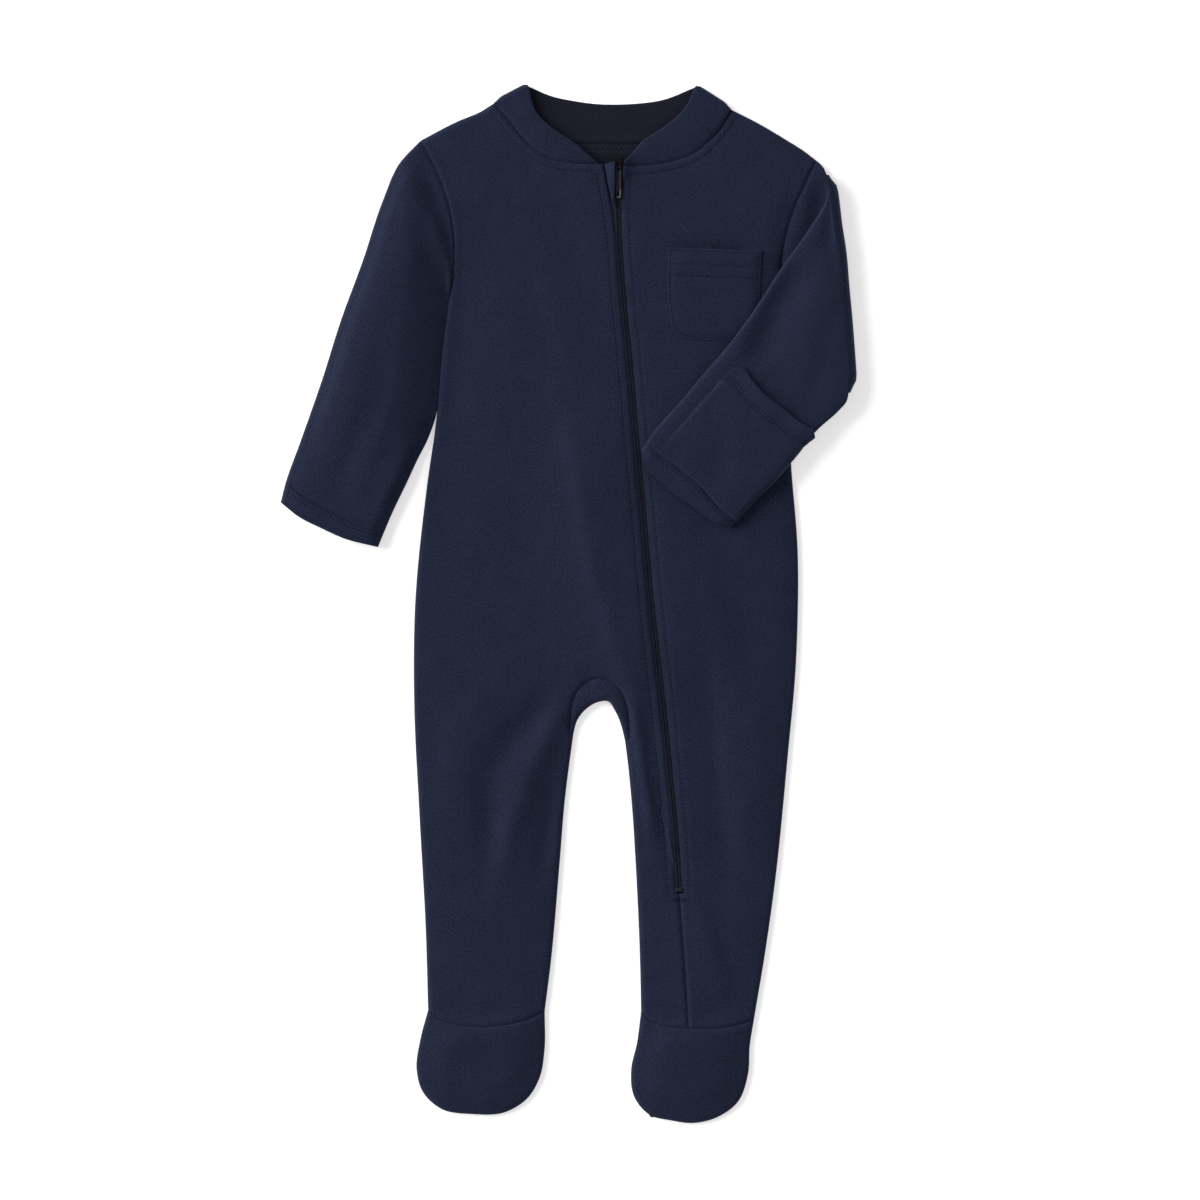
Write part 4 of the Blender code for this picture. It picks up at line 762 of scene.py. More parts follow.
def zip_welt(plan):
    """The front's folded edges beside the zip, held down by a row of stitching."""
    height = 0.0
    for edge, stitch in zip((ZIP_EDGE_RIGHT, ZIP_EDGE_LEFT), WELT_STITCH):
        distance, _, walked, _ = nearest(plan, [edge])
        sunk = -WELT * ease((stitch + 0.9 - distance) / 1.6)
        groove = -0.14 * hump(distance - stitch, 0.6)
        ripple = 0.08 * np.sin(walked * (2 * math.pi / 8.0) + waves(plan, 40.0, 7) * 2.5)
        rim = -0.45 * hump(distance, 0.6)
        height += sunk + groove + rim + ripple * hump(distance - stitch - 0.9, 2.2)
    return height * ease((plan[:, 1] - ZIP_BOTTOM + 5.0) / 5.0)


def front_skins(plan):
    height, lean, stand, away = front_shape(plan)
    inner_plan = plan + away * (WALL * lean)[:, None]
    return raised(plan, height), raised(inner_plan, height - WALL * stand)


def back_skins(plan):
    """The back lies on the surface and turns up at the sides to meet the front."""
    distance, away, _, _ = nearest(plan, SILHOUETTE)
    lean, stand = edge_turn(distance, BACK_ROUND)
    room = np.clip(folds(plan, BACK_FOLDS) + 0.25 * waves(plan, 60.0, 11) - 0.05, 0.0, 0.9)
    low = (BACK_RISE * (1 - stand) + room * ease(distance / 12.0)
           + 0.4 * hump(gap_to(plan, *BACK_SEAMS), 1.0))
    inner_plan = plan + away * (WALL * lean)[:, None]
    return raised(inner_plan, low + WALL * stand), raised(plan, low)


# ---- body pieces
def make_fronts():
    right = join(NECK_SEAM_RIGHT, ZIP_EDGE_RIGHT, LEG_SEAM, ANKLE_LEFT_INNER, INSEAM_LEFT,
                 GUSSET_SEAM, INSEAM_RIGHT, ANKLE_RIGHT, SIDE_RIGHT, ARMHOLE_RIGHT, SHOULDER_RIGHT)
    left = join(NECK_SEAM_LEFT, ZIP_EDGE_LEFT, LEG_SEAM, ANKLE_LEFT_OUTER, SIDE_LEFT,
                ARMHOLE_LEFT, SHOULDER_LEFT)
    for side, outline in (("right", right), ("left", left)):
        laid_piece("front_panel_" + side, "front_" + side, outline, front_skins, "back_body")


def make_back():
    """The back reaches a little past the front's seams, so that its pieces overlap."""
    outline = join(NECK_SEAM_BACK, SHOULDER_LEFT, bulged(sample(ARMHOLE_LEFT), BACK_LAP),
                   SIDE_LEFT, BACK_ANKLE_LEFT, INSEAM_LEFT, BACK_GUSSET, INSEAM_RIGHT,
                   BACK_ANKLE_RIGHT, SIDE_RIGHT, bulged(sample(ARMHOLE_RIGHT), -BACK_LAP),
                   SHOULDER_RIGHT)
    # its upper face, the garment's inside, takes the darker knit with painted shade
    laid_piece("back_panel", "back_body", outline, back_skins, "floor", material=KNIT_INSIDE_SHADED,
               rings=(*BACK_RINGS, 2.6), lattice=BACK_LATTICE)


def make_foot(side, foot_line, front_ankle, back_ankle):
    shown = join(foot_line, front_ankle)
    laid_piece("foot_top_" + side, "foot_upper_" + side, shown, front_skins, "foot_sole_" + side)
    laid_piece("foot_bottom_" + side, "foot_sole_" + side, join(foot_line, back_ankle), back_skins,
               "floor", shown, rings=BACK_RINGS, lattice=BACK_LATTICE)


def make_gusset():
    """A strip folded round the crotch edge, from its front seam to its back seam."""
    seam = sample(GUSSET_SEAM)
    edge = curve(CROTCH)(np.linspace(0.0, 1.0, len(seam)))
    seam = seam + unit(edge - seam) * SEAM_HALF
    seam[[0, -1]] += ((-0.35, -0.35), (0.35, -0.35))
    edge[[0, -1], 1] -= 0.35
    outer, inner, grain = [], [], []
    angles = np.radians(np.linspace(90, -90, 13))
    laps = 2 * BACK_LAP * middle_swell(len(seam))
    for e, s, height, reached, lap in zip(edge, seam, front_shape(seam)[0], walk(edge), laps):
        width, across = np.linalg.norm(s - e), unit(s - e)
        end = min(EDGE_ROUND, 0.85 * width)
        flat = np.linspace(width, end, 6)[:-1]
        under = np.linspace(width + lap - 2 * SEAM_HALF, end, 6)[:-1]
        for store, wall in ((outer, 0.0), (inner, WALL)):
            away = np.concatenate([flat, end - (end - wall) * np.cos(angles), under[::-1]])
            level = np.concatenate([np.ones(5), np.sin(angles), -np.ones(5)]) * (height / 2 - wall)
            swell = 0.25 * np.sin(math.pi * np.clip(away / width, 0, 1))
            swell = (swell + 0.5 * (1 - hump(width - away, 1.1))) * (level > 0) * ease(width / 5.0)
            store.append(raised(e + across * away[:, None], height / 2 + level + swell))
        turned = np.linspace(0.0, 2 * width + 3.0, len(away))
        grain.append(raised(np.full(len(away), reached), turned))
    item = wall_piece("gusset_strip", "gusset", outer, inner, grain)


# ---- sleeves
ARM_AT_BODY = sample(SIDE_RIGHT, 8.0)
ARM_AT_BODY = ARM_AT_BODY[ARM_AT_BODY[:, 1] > 112.0] + (0.3, 0.0)   # touches the body
ARM_INNER_RIGHT = [ARMHOLE_RIGHT[-1], *ARM_AT_BODY[1:], *ARM_FREE_INNER]
ARM_INNER, ARM_OUTER = sample(ARM_INNER_RIGHT), sample(ARM_OUTER_RIGHT)
RIGHT_SLEEVE = patch(ARMHOLE_RIGHT, CUFF_RIGHT, ARM_OUTER_RIGHT, ARM_INNER_RIGHT)
UPPER_ARM_LEFT = patch(ARMHOLE_LEFT, FOLD_LINE, ARM_OUTER_LEFT, ARM_INNER_LEFT)
FOREARM_LEFT = patch(FOLD_LINE, CUFF_LEFT, FOREARM_UPPER, FOREARM_LOWER)
RIGHT_LENGTH, FOREARM_LENGTH = RIGHT_SLEEVE.length, FOREARM_LEFT.length
MITTEN_SIDE_SEAM = FOREARM_LEFT(np.linspace(0.60, 0.88, 40), MITTEN_SIDE - 0.008)


def across_shares(width):
    """Shares across a sleeve, closer together at its rounded edges."""
    ends = np.array([0.0, 0.12, 0.4, 0.8, 1.3, 1.9, 2.5, 3.2])
    middle = np.linspace(ends[-1], width - ends[-1], 32)[1:-1]
    return np.concatenate([ends, middle, (width - ends)[::-1]]) / width


def width_at(surface, u):
    return np.linalg.norm(surface(u, 1.0) - surface(u, 0.0), axis=1)


def arm_faces(surface, u, shares, up, low):
    """Outer levels of a sleeve's upper and lower layer, and how far its edges have turned."""
    from_edge = np.minimum(shares, 1 - shares) * width_at(surface, u)
    lean, stand = edge_turn(from_edge, SLEEVE_ROUND)
    plan, soft = surface(u, shares), ease(from_edge / 9.0)
    high, deep = up(plan, soft), low(plan, soft)
    middle, half = (high + deep) / 2, (high - deep) / 2
    return plan, middle + half * stand, middle - half * stand, lean, stand


def there_and_back(top, bottom):
    """Values over the top of a flat tube, then back underneath it."""
    return np.concatenate([top, bottom[-2:0:-1]])


def tube_ring(surface, u, up, low, turn=0.0):
    """Outer and inner loop of one section of a flat sleeve, turned about its fold line."""
    width = width_at(surface, u)[0]
    shares = across_shares(width)
    plan, high, deep, lean, stand = arm_faces(surface, u, shares, up, low)
    inset = np.where(shares < 0.5, 1.0, -1.0) * WALL * lean / width
    inner_plan = surface(u, shares + inset)
    both = there_and_back(shares, shares)
    spread = 0.3 + 0.7 * ease(both / 0.07) * ease((1 - both) / 0.07)
    loops = []
    for place, top, bottom in ((plan, high, deep),
                               (inner_plan, high - WALL * stand, deep + WALL * stand)):
        around, level = there_and_back(place, place), there_and_back(top, bottom)
        if turn:
            arm = FOLD_AXIS - level
            around = around + fold_outward(both) * (spread * arm * math.sin(turn))[:, None]
            level = FOLD_AXIS - arm * math.cos(turn)
        loops.append(raised(around, level))
    return loops, there_and_back(shares, 2 - shares) * width


def place_sleeve(name, node, sections):
    """A closed tube through sections, each a ring and how far along the sleeve it lies."""
    rings = [loops for (loops, _), _ in sections]
    grain = [raised(around, np.full(len(around), reached)) for (_, around), reached in sections]
    outer, inner = np.array(rings).transpose(1, 0, 2, 3)
    return wall_piece(name, node, outer, inner, grain, closed=True)


def sleeve_rows(length, fine_at):
    """Shares along a sleeve, closer together where a hem or seam needs it."""
    rows = list(np.arange(0.0, length, 2.6))
    for place in fine_at:
        rows = [r for r in rows if abs(r - place) > 2.0]
        rows += [place + step for step in (-1.4, -0.7, 0.0, 0.7, 1.4)]
    rows = sorted(r for r in rows if 0.0 <= r < length - 0.6) + [length - 0.5, length]
    return np.array(rows) / length


def arm_lap(walked):
    """How far a sleeve's lower layer is lifted where it lies on the back's seam edge."""
    return SEAM_LIFT * ease((5.0 - walked) / 3.0)


def meet_armhole(shape, plan, walked, reach):
    """A sleeve's level, brought to that of the body's front where the two are sewn together."""
    at_armhole = 1 - ease(walked / reach)
    body = np.maximum(front_shape(plan, details=False)[0], ARMHOLE_LEAST)
    return shape * (1 - at_armhole) + at_armhole * body - 0.5 * hump(walked, 1.3)


def right_lift(u):
    return UNDERLAP * ease((u - 1 + MITTEN_LENGTH / RIGHT_LENGTH + 0.16) / 0.14)


def right_up(u):
    walked = u * RIGHT_LENGTH
    from_cuff = RIGHT_LENGTH - walked

    def level(plan, soft):
        droop = np.clip(1 - gap_to(plan, ARM_INNER) / DROOP_REACH, 0.0, 1.0) ** 1.5
        droop = droop * ease(walked / 24.0) * ease((0.80 - u) / 0.25)
        outer = np.clip(1 - gap_to(plan, ARM_OUTER) / OUTER_REACH, 0.0, 1.0) ** 1.8
        crown = ARM_CROWN * ease(u / 0.1) * (0.35 + 0.65 * ease((1 - u) / 0.35))
        crown = crown * (1 - droop) * (1 - 0.85 * outer)
        uneven = folds(plan, ARM_FOLDS) + 0.2 * waves(plan, 32.0, 21) + 0.07 * waves(plan, 11.0, 22)
        shape = SLEEVE_HEIGHT - DROOP * droop + soft * (crown + uneven * (1 - 0.8 * droop))
        shape = shape + CUFF_HEM_RISE * ease((CUFF_HEM + 0.8 - from_cuff) / 1.2)
        shape = shape - 0.4 * hump(from_cuff - CUFF_HEM - 0.4, 0.8)
        shape = np.maximum(shape, 2.3) + right_lift(u)
        return meet_armhole(shape, plan, walked, 16.0) + 0.2 * hump(walked - 3.2, 1.8)
    return level


def right_low(u):
    lift = right_lift(u) + arm_lap(u * RIGHT_LENGTH)
    return lambda plan, soft: lift + soft * np.clip(0.3 * waves(plan, 40.0, 23), 0.0, 0.4)


def make_sleeve_right():
    item = place_sleeve("arm_right", "sleeve_right", [
        (tube_ring(RIGHT_SLEEVE, max(u, 0.12 / RIGHT_LENGTH), right_up(u), right_low(u)),
         u * RIGHT_LENGTH) for u in sleeve_rows(RIGHT_LENGTH, (1.5, RIGHT_LENGTH - CUFF_HEM))])


def fold_outward(shares):
    """The way that the fold of the left sleeve faces, square to its fold line."""
    line = curve(FOLD_LINE)
    return leftward(unit(line(np.clip(shares + 0.05, 0, 1)) - line(np.clip(shares - 0.05, 0, 1))))


def upper_arm_up(u):
    def level(plan, soft):
        shape = SLEEVE_HEIGHT + soft * folds(plan, ELBOW_FOLDS) * ease((1 - u) / 0.3)
        return meet_armhole(shape, plan, u * UPPER_ARM_LENGTH, 14.0)
    return level


def steady(height):
    return lambda plan, soft: np.full(len(plan), height)


def seam_at(shares):
    """Share along the forearm of the seam that joins the flap to the cuff's band."""
    return np.interp(shares, *sample(MITTEN_SEAM, 0.01).T)


def length_at(shares):
    """Length of the forearm from its fold to its cuff, at a share across."""
    return 202.0 - 94.5 * shares


FLAP_SEAM = FOREARM_LEFT(seam_at(np.linspace(0.0, 1.0, 60)), np.linspace(0.0, 1.0, 60))


def forearm_drop(u):
    """The forearm sinks from the stack of layers at the elbow onto the body."""
    return FOREARM_DROP * ease((u - 0.08) / 0.36)


def forearm_up(u):
    return steady(SLEEVE_HEIGHT + forearm_drop(u))


def forearm_low(u):
    """The forearm's outer face once folded over; a rise of the folded sleeve is negative here."""
    def level(plan, soft):
        uneven = folds(plan, FOREARM_FOLDS) + 0.16 * waves(plan, 30.0, 31)
        uneven = uneven + 0.06 * waves(plan, 10.0, 32)
        distance, _, _, side = nearest(plan, [FLAP_SEAM])
        rise = (SLEEVE_CROWN * 0.6 * ease(u / 0.15) + uneven * ease(u / 0.1)
                + 0.9 * ease((0.6 - distance * side) / 1.4) - 0.9 * hump(distance, 0.75)
                - 0.45 * hump(gap_to(plan, MITTEN_SIDE_SEAM), 1.0))
        return forearm_drop(u) - rise * soft
    return level


def make_sleeve_left():
    """A sleeve folded forward: the upper arm lies flat, the forearm comes back over it."""
    upper = [(tube_ring(UPPER_ARM_LEFT, u, upper_arm_up(u), steady(arm_lap(u * UPPER_ARM_LENGTH))),
              u * UPPER_ARM_LENGTH)
             for u in (0.004, 0.02, 0.045, 0.08, 0.12, 0.17, 0.24, 0.32, 0.44, 0.56, 0.68, 0.8,
                       0.9, 1.0)]
    fold = [(tube_ring(FOREARM_LEFT, 0.0, steady(SLEEVE_HEIGHT), steady(0.0), math.radians(turn)),
             UPPER_ARM_LENGTH + turn * 0.09) for turn in range(12, 180, 12)]
    forearm = [(tube_ring(FOREARM_LEFT, u, forearm_up(u), forearm_low(u), math.pi),
                UPPER_ARM_LENGTH + 16.0 + u * FOREARM_LENGTH)
               for u in sleeve_rows(FOREARM_LENGTH, FOREARM_LENGTH - np.array([9.8, 7.0, 4.2]))]
    item = place_sleeve("arm_left", "sleeve_left", upper + fold + forearm)


def forearm_top(u, shares):
    """Points on the folded forearm's visible face."""
    plan, _, deep, _, _ = arm_faces(FOREARM_LEFT, u, shares, forearm_up(u), forearm_low(u))
    return raised(plan, 2 * FOLD_AXIS - deep)


def right_arm_top(u, shares):
    plan, high, _, _, _ = arm_faces(RIGHT_SLEEVE, u, shares, right_up(u), right_low(u))
    return raised(plan, high)


# ---- mittens
def mitten_lift(from_free, from_side, to_seam):
    """How far the left flap's cloth stands off the forearm below it."""
    sewn = 1.1 * ease(1 - to_seam / 1.8)
    sewn = sewn + 0.6 * hump(from_side, 1.2) * ease(from_free / 9.0) * ease(to_seam / 30.0)
    hem = 0.40 * ease((MITTEN_HEM + 1.2 - from_free) / 1.4)
    groove = 0.42 * (hump(from_free - MITTEN_HEM, 0.8)
                     + hump(from_free - MITTEN_HEM - MITTEN_ROW_GAP, 0.7))
    curl = 1.2 * ease(1 - from_free / 7.0) * (0.4 + 0.6 * ease(from_side / 25.0))
    slack = 0.5 * ease(from_free / 20.0) * ease((56.0 - from_free) / 20.0) * ease(from_side / 15.0)
    edge = 0.15 * ease(1 - from_side / 3.0)
    return 0.2 + hem - groove + curl + slack - edge - sewn


def mitten_grid():
    """Outer and inner points of the left flap, row by row from its free hem to its seam."""
    steps = np.concatenate([[0.0, 0.3, 0.8, 1.5, 2.4], np.arange(3.4, 63.5, 1.25),
                            [64.2, 64.9, 65.5, 66.0]])
    over_edge = np.radians([12, 24, 36, 48, 60, 72, 84, 98])
    fill = np.concatenate([[0.0, 0.004, 0.011, 0.022], np.linspace(0.036, 1.0, 38)])
    turn = np.concatenate([np.zeros(len(fill)), over_edge])
    fill = np.concatenate([fill, np.ones(len(over_edge))])
    nominal = MITTEN_SIDE + fill * (0.966 - MITTEN_SIDE)
    free, seam = np.interp(nominal, *sample(MITTEN_FREE, 0.01).T), seam_at(nominal)
    out, up = np.sin(turn), np.cos(turn)
    outer, inner, grain = [], [], []
    for step in steps:
        u = free + (seam - free) * step / steps[-1]
        width = width_at(FOREARM_LEFT, u)
        shares = MITTEN_SIDE + fill * (1 - SLEEVE_ROUND / width - MITTEN_SIDE)
        top = forearm_top(u, shares)
        across = (FOREARM_LEFT(u, 1.0) - FOREARM_LEFT(u, 0.0)) / width[:, None]
        edge_level = 2 * FOLD_AXIS - SLEEVE_HEIGHT / 2 - forearm_drop(u)
        level = top[:, 2] - (top[:, 2] - edge_level) * (1 - up)
        from_free = (u - free) * length_at(nominal)
        lift = mitten_lift(from_free, (shares - MITTEN_SIDE) * width, (seam - u) * FOREARM_LENGTH)
        for store, stand in ((outer, lift + WALL), (inner, lift)):
            store.append(raised(top[:, :2] + across * (out * (SLEEVE_ROUND + stand))[:, None],
                                level + up * stand))
        grain.append(raised(shares * width + turn * SLEEVE_ROUND, from_free))
    return np.array(outer), np.array(inner), np.array(grain)


def make_mitten_left():
    """The flap lies on top of the forearm; its far side is sewn in at the forearm's edge."""
    item = wall_piece("mitten_flap_left", "mitten_left", *mitten_grid())


def make_mitten_right():
    """The same flap under the right cuff, flat on the surface, its edges a little rounded."""
    shares = np.linspace(0.05, 0.93, 30)
    rows = np.linspace(1 - MITTEN_LENGTH / RIGHT_LENGTH, 0.985, 30)
    plan = np.array([RIGHT_SLEEVE(np.full(30, u), shares) for u in rows])
    low = np.full((30, 30, 1), 0.18)
    low[1:-1, 1:-1] = 0.0
    outer, inner = (np.concatenate([plan, level], axis=2) for level in (WALL - low, low))
    item = wall_piece("mitten_flap_right", "mitten_right", outer, inner, plan)


# ---- collar and pocket
def make_neckband():
    """One strip round the neck, folded at both shoulders, its two ends at the zip."""
    outer, inner, walks = [], [], []
    half_wall = COLLAR_WALL / 2

    def section(foot, free, faces):
        """A cut across the strip: faces(plan, walked, width, half) gives its two sides."""
        width = np.linalg.norm(free - foot)
        walked = np.concatenate([[0.0, 0.4, 0.9, 1.6], np.linspace(2.4, width - 2.4, 12),
                                 width - np.array([1.5, 0.8, 0.35, 0.1, 0.0])])
        rim = np.clip(1 - (width - walked) / half_wall, 0, 1)
        above, below = faces(foot + (free - foot) * (walked / width)[:, None], walked, width,
                             half_wall * np.sqrt(1 - rim**2))
        outer.append(above)
        inner.append(below)
        walks.append(walked)

    def strip(seam, free, shares, lap_at, faces_at):
        seam, free = curve(seam), curve(free)
        for share in shares:
            foot, edge = seam(share)[0], free(share)[0]
            foot = foot + unit(edge - foot) * (0.15 - 1.5 * lap_at(share))
            section(foot, edge, faces_at(share))

    def front_faces(share):
        near_fold = ease((1 - share) / 0.25)

        def faces(plan, walked, width, half):
            f = walked / width
            middle = (COLLAR_HEIGHT - half_wall - 0.7 * hump(walked, 1.1) + slider_rise(plan)
                      + near_fold * (COLLAR_FREE_RISE * f + 0.55 * np.sin(math.pi * f)
                                     + 0.12 * waves(plan, 14.0, 41)))
            return raised(plan, middle + half), raised(plan, middle - half)
        return faces

    def back_lap(share):
        return ease(min(share, 1 - share) / 0.08)

    def back_faces(share):
        lap = back_lap(share)

        def faces(plan, walked, width, half):
            half = half * (1 - 0.62 * lap * (1 - ease(walked / 3.0)))
            middle = half + 0.3 * np.sin(math.pi * walked / width) * math.sin(math.pi * share)
            middle = middle + SEAM_LIFT * lap * (1 - ease((walked - 1.2) / 3.0))
            return raised(plan, middle - half), raised(plan, middle + half)
        return faces

    def fold(foot, tip, side, turns):
        foot, tip = np.array(foot), np.array(tip)
        out = leftward(unit(tip - foot)) * side
        for turn in np.radians(turns):
            def faces(plan, walked, width, half):
                spread = 0.45 + 0.55 * ease(walked / 6.0)
                spread = spread * (0.6 + 0.4 * ease((width - walked) / 3))
                for reach in (COLLAR_ROUND - half_wall + half, COLLAR_ROUND - half_wall - half):
                    yield raised(plan + out * (reach * spread * math.sin(turn))[:, None],
                                 COLLAR_ROUND + reach * math.cos(turn))
            section(foot, tip, faces)

    shares, turns = np.linspace(0.0, 1.0, 48), np.arange(15, 180, 15)
    strip(NECK_SEAM_RIGHT[1:][::-1] + [COLLAR_FOOT_RIGHT], COLLAR_FREE_RIGHT, shares,
          lambda share: 0.0, front_faces)
    fold(COLLAR_FOOT_RIGHT, COLLAR_TIP_RIGHT, 1, turns)
    strip([COLLAR_FOOT_RIGHT] + NECK_SEAM_BACK[1:-1] + [COLLAR_FOOT_LEFT], COLLAR_FREE_BACK,
          np.linspace(0.0, 1.0, 64), back_lap, back_faces)
    fold(COLLAR_FOOT_LEFT, COLLAR_TIP_LEFT, -1, turns[::-1])
    strip(NECK_SEAM_LEFT[1:][::-1] + [COLLAR_FOOT_LEFT], COLLAR_FREE_LEFT, shares[::-1],
          lambda share: 0.0, front_faces)
    walks = np.array(walks)
    reached = walk(np.array(outer)[:, 5])
    grain = np.dstack([np.broadcast_to(reached[:, None], walks.shape), walks])
    item = wall_piece("neck_band", "neckband", outer, inner, grain)
    item.data.materials.append(KNIT_INSIDE_SHADED)
    for face in item.data.polygons:      # the part behind the neck, on the garment's inside, gets the darker knit as painted shade
        face.material_index = int(face.center.z < 3.4 * MM and face.center.y > 274 * MM)


POCKET_TOP = edge_line(*POCKET[:2])
POCKET_CUT = join(edge_line(*POCKET[:2], 34), sample(POCKET[1:] + POCKET[:1], 1.6))


def pocket_height(plan):
    """The pocket lies on the front; its top hem is double and its edges are turned in."""
    base = front_shape(plan)[0] + 0.06 - folds(plan, POCKET_MOUTH)
    to_edge, _, walked, _ = nearest(plan, [np.vstack([POCKET_CUT, POCKET_CUT[:1]])])
    below_top = gap_to(plan, POCKET_TOP)
    hem = 0.35 * ease((POCKET_ROWS[1] + 1.0 - below_top) / 1.4)
    rows = sum(0.34 * hump(below_top - row, 0.8) for row in POCKET_ROWS)
    gape = 0.6 * ease(1 - below_top / 14.0) * ease(to_edge / 12.0 + 0.15 * (below_top < 3.0))
    gape = gape + 0.55 * ease(to_edge / 7.0)
    turned = 0.12 * ease((3.0 - to_edge) / 1.0) - 0.40 * hump(to_edge, 0.9)
    groove = -0.30 * hump(to_edge - POCKET_STITCH, 0.6) * (below_top > 1.0)
    ripple = 0.06 * np.sin(walked * (2 * math.pi / 6.0)) * hump(to_edge - 3.5, 1.5)
    return base + hem - rows + gape + turned + groove + ripple


def pocket_skins(plan):
    height = pocket_height(plan)
    return raised(plan, height + POCKET_WALL), raised(plan, height)


def make_pocket():
    laid_piece("pocket_patch", "pocket", POCKET_CUT, pocket_skins, "front_panel_left",
               rings=(0.3, 0.7, 1.2, 1.6, 2.0, 2.5, 3.2), lattice=1.5)


# ---- zip
def zip_path(top, bottom, step):
    """Points, sideways directions, cloth heights and distances along part of the zip."""
    fine = curve(ZIP_LINE)(np.linspace(0, 1, 4000))
    fine = fine[(fine[:, 1] <= top) & (fine[:, 1] >= bottom)]
    walked = walk(fine)
    even = np.arange(0.0, walked[-1], step)
    line = np.column_stack([np.interp(even, walked, fine[:, k]) for k in (0, 1)])
    return line, beside(line, 1.0) - line, front_shape(line, details=False)[0], even


def tooth_mesh():
    """One loop of the coil as seen from the front: a short thick bar, flattened at its root."""
    bpy.ops.mesh.primitive_uv_sphere_add(segments=8, ring_count=6, radius=1.0)
    tooth = bpy.context.object
    bpy.ops.object.mode_set(mode="EDIT")
    bpy.ops.mesh.select_all(action="SELECT")
    bpy.ops.transform.rotate(value=math.pi / 2, orient_axis="Y", center_override=(0, 0, 0))
    bpy.ops.transform.resize(value=(0.82, 0.52, 0.60))
    bpy.ops.object.mode_set(mode="OBJECT")
    points = np.array([tuple(v.co) for v in tooth.data.vertices])
    faces = [tuple(f.vertices) for f in tooth.data.polygons]
    bpy.data.objects.remove(tooth, do_unlink=True)
    points[:, 0] = np.sign(points[:, 0]) * np.abs(points[:, 0]) ** 0.8 * TOOTH_HALF
    return points, faces


def repeated(points, faces, places, rights, forwards, ups):
    """One mesh of many copies of a small shape, each with its own place and directions."""
    copies = (places[:, None] + points[:, 0, None] * rights[:, None]
              + points[:, 1, None] * forwards[:, None] + points[:, 2, None] * ups[:, None])
    all_faces = [tuple(k * len(points) + p for p in face)
                 for k in range(len(places)) for face in faces]
    return copies.reshape(-1, 3), all_faces


def make_chain():
    """Teeth to the left and right in turn, each a little aslant."""
    line, sideways, height, _ = zip_path(ZIP_TOP, ZIP_BOTTOM + 4.6, TOOTH_PITCH / 2)
    ahead = unit(np.gradient(line, axis=0))
    side = np.where(np.arange(len(line)) % 2 == 0, 1.0, -1.0)[:, None]
    level = height - TOOTH_SINK
    rights = raised(sideways * side + ahead * TOOTH_SLANT, np.zeros(len(line)))
    forwards = raised(ahead, np.gradient(level) / (TOOTH_PITCH / 2))
    ups = np.tile((0.0, 0.0, 1.0), (len(line), 1))
    centre = raised(line + sideways * (side * TOOTH_HALF - 0.1), level)
    mesh = mesh_from("zip_teeth", *repeated(*tooth_mesh(), centre, rights, forwards, ups))
    place_piece("zip_teeth", mesh, COIL, ["zip_chain"])


def make_tapes():
    """Woven tapes under the front's edges; they swing out beside the slider."""
    line, sideways, height, walked = zip_path(262.5, ZIP_BOTTOM + 1.0, 4.0)
    swing = TAPE_SWING * ease((line[:, 1] - 247.0) / 9.0)
    across = np.linspace(TAPE_INNER + swing, TAPE_OUTER + swing * 0.4, 6, axis=1)
    across = np.hstack([across, across[:, ::-1]])
    level = (height - WALL - TAPE_WALL)[:, None] - np.repeat([0.0, TAPE_WALL], 6)
    points, faces, grain = [], [], []
    for side in (-1, 1):
        first, last = len(points), len(points) + across.size
        plan = line[:, None] + (sideways * side)[:, None] * across[:, :, None]
        points += [*np.dstack([plan, level]).reshape(-1, 3)]
        grain += [*np.dstack([across, np.tile(walked[:, None], 12)]).reshape(-1, 2)]
        faces += grid_faces(len(line), 12, True, first)
        faces += [tuple(range(first, first + 12)), tuple(range(last - 12, last))]
    mesh = mesh_from("zip_tapes", points, faces, grain)
    item = place_piece("zip_tapes", mesh, TAPE, ["zip_tape_right", "zip_tape_left"])


def make_garage():
    """A small strip folded over the top of the zip; it covers the slider's left side."""
    count = 26
    left, right = (line[np.linspace(0, len(line) - 1, count).round().astype(int)]
                   for line in (sample([GARAGE[0], GARAGE[5], GARAGE[4]], 1.0),
                                sample(GARAGE[1:5], 1.0)))
    outer, inner, grain = [], [], []
    angles = np.radians(np.linspace(90, -90, 7))
    for k, (a, b) in enumerate(zip(left, right)):
        width = max(np.linalg.norm(b - a), 1.2)
        across = (b - a) / max(np.linalg.norm(b - a), 1e-6)
        slope = 0.15 + 0.19 * ease((a[1] - 246.0) / 10.0)
        flat = np.linspace(0.0, width - TAB_TURN, 7)[:-1]
        for store, reach in ((outer, TAB_TURN), (inner, TAB_TURN - PLY)):
            off = np.concatenate([flat, width - TAB_TURN + reach * np.cos(angles), flat[::-1]])
            rise = np.concatenate([np.ones(6), np.sin(angles), -np.ones(6)]) * reach
            level = TAB_LEVEL + (a[0] + across[0] * off - GARAGE[0][0]) * slope + rise
            level = level + 0.25 * np.sin(math.pi * np.clip(off / width, 0, 1)) * (rise > 0)
            store.append(raised(a + across * off[:, None], level))
        grain.append(raised(np.linspace(0, 2 * width, 19), np.full(19, -k)))
    item = wall_piece("zip_tab", "zip_garage", outer, inner, grain)


def finish_metal():
    """The CAD's own stop, slider and pull keep their shapes and get their enamel; the slider's is
    darkened as painted shade.
    """
    pull = pull_material(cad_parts["zip_pull"].data)
    for name, material in (("zip_stop", ENAMEL), ("zip_slider", SLIDER_ENAMEL_SHADED), ("zip_pull", pull)):
        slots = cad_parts[name].data.materials
        slots.clear()
        slots.append(material)


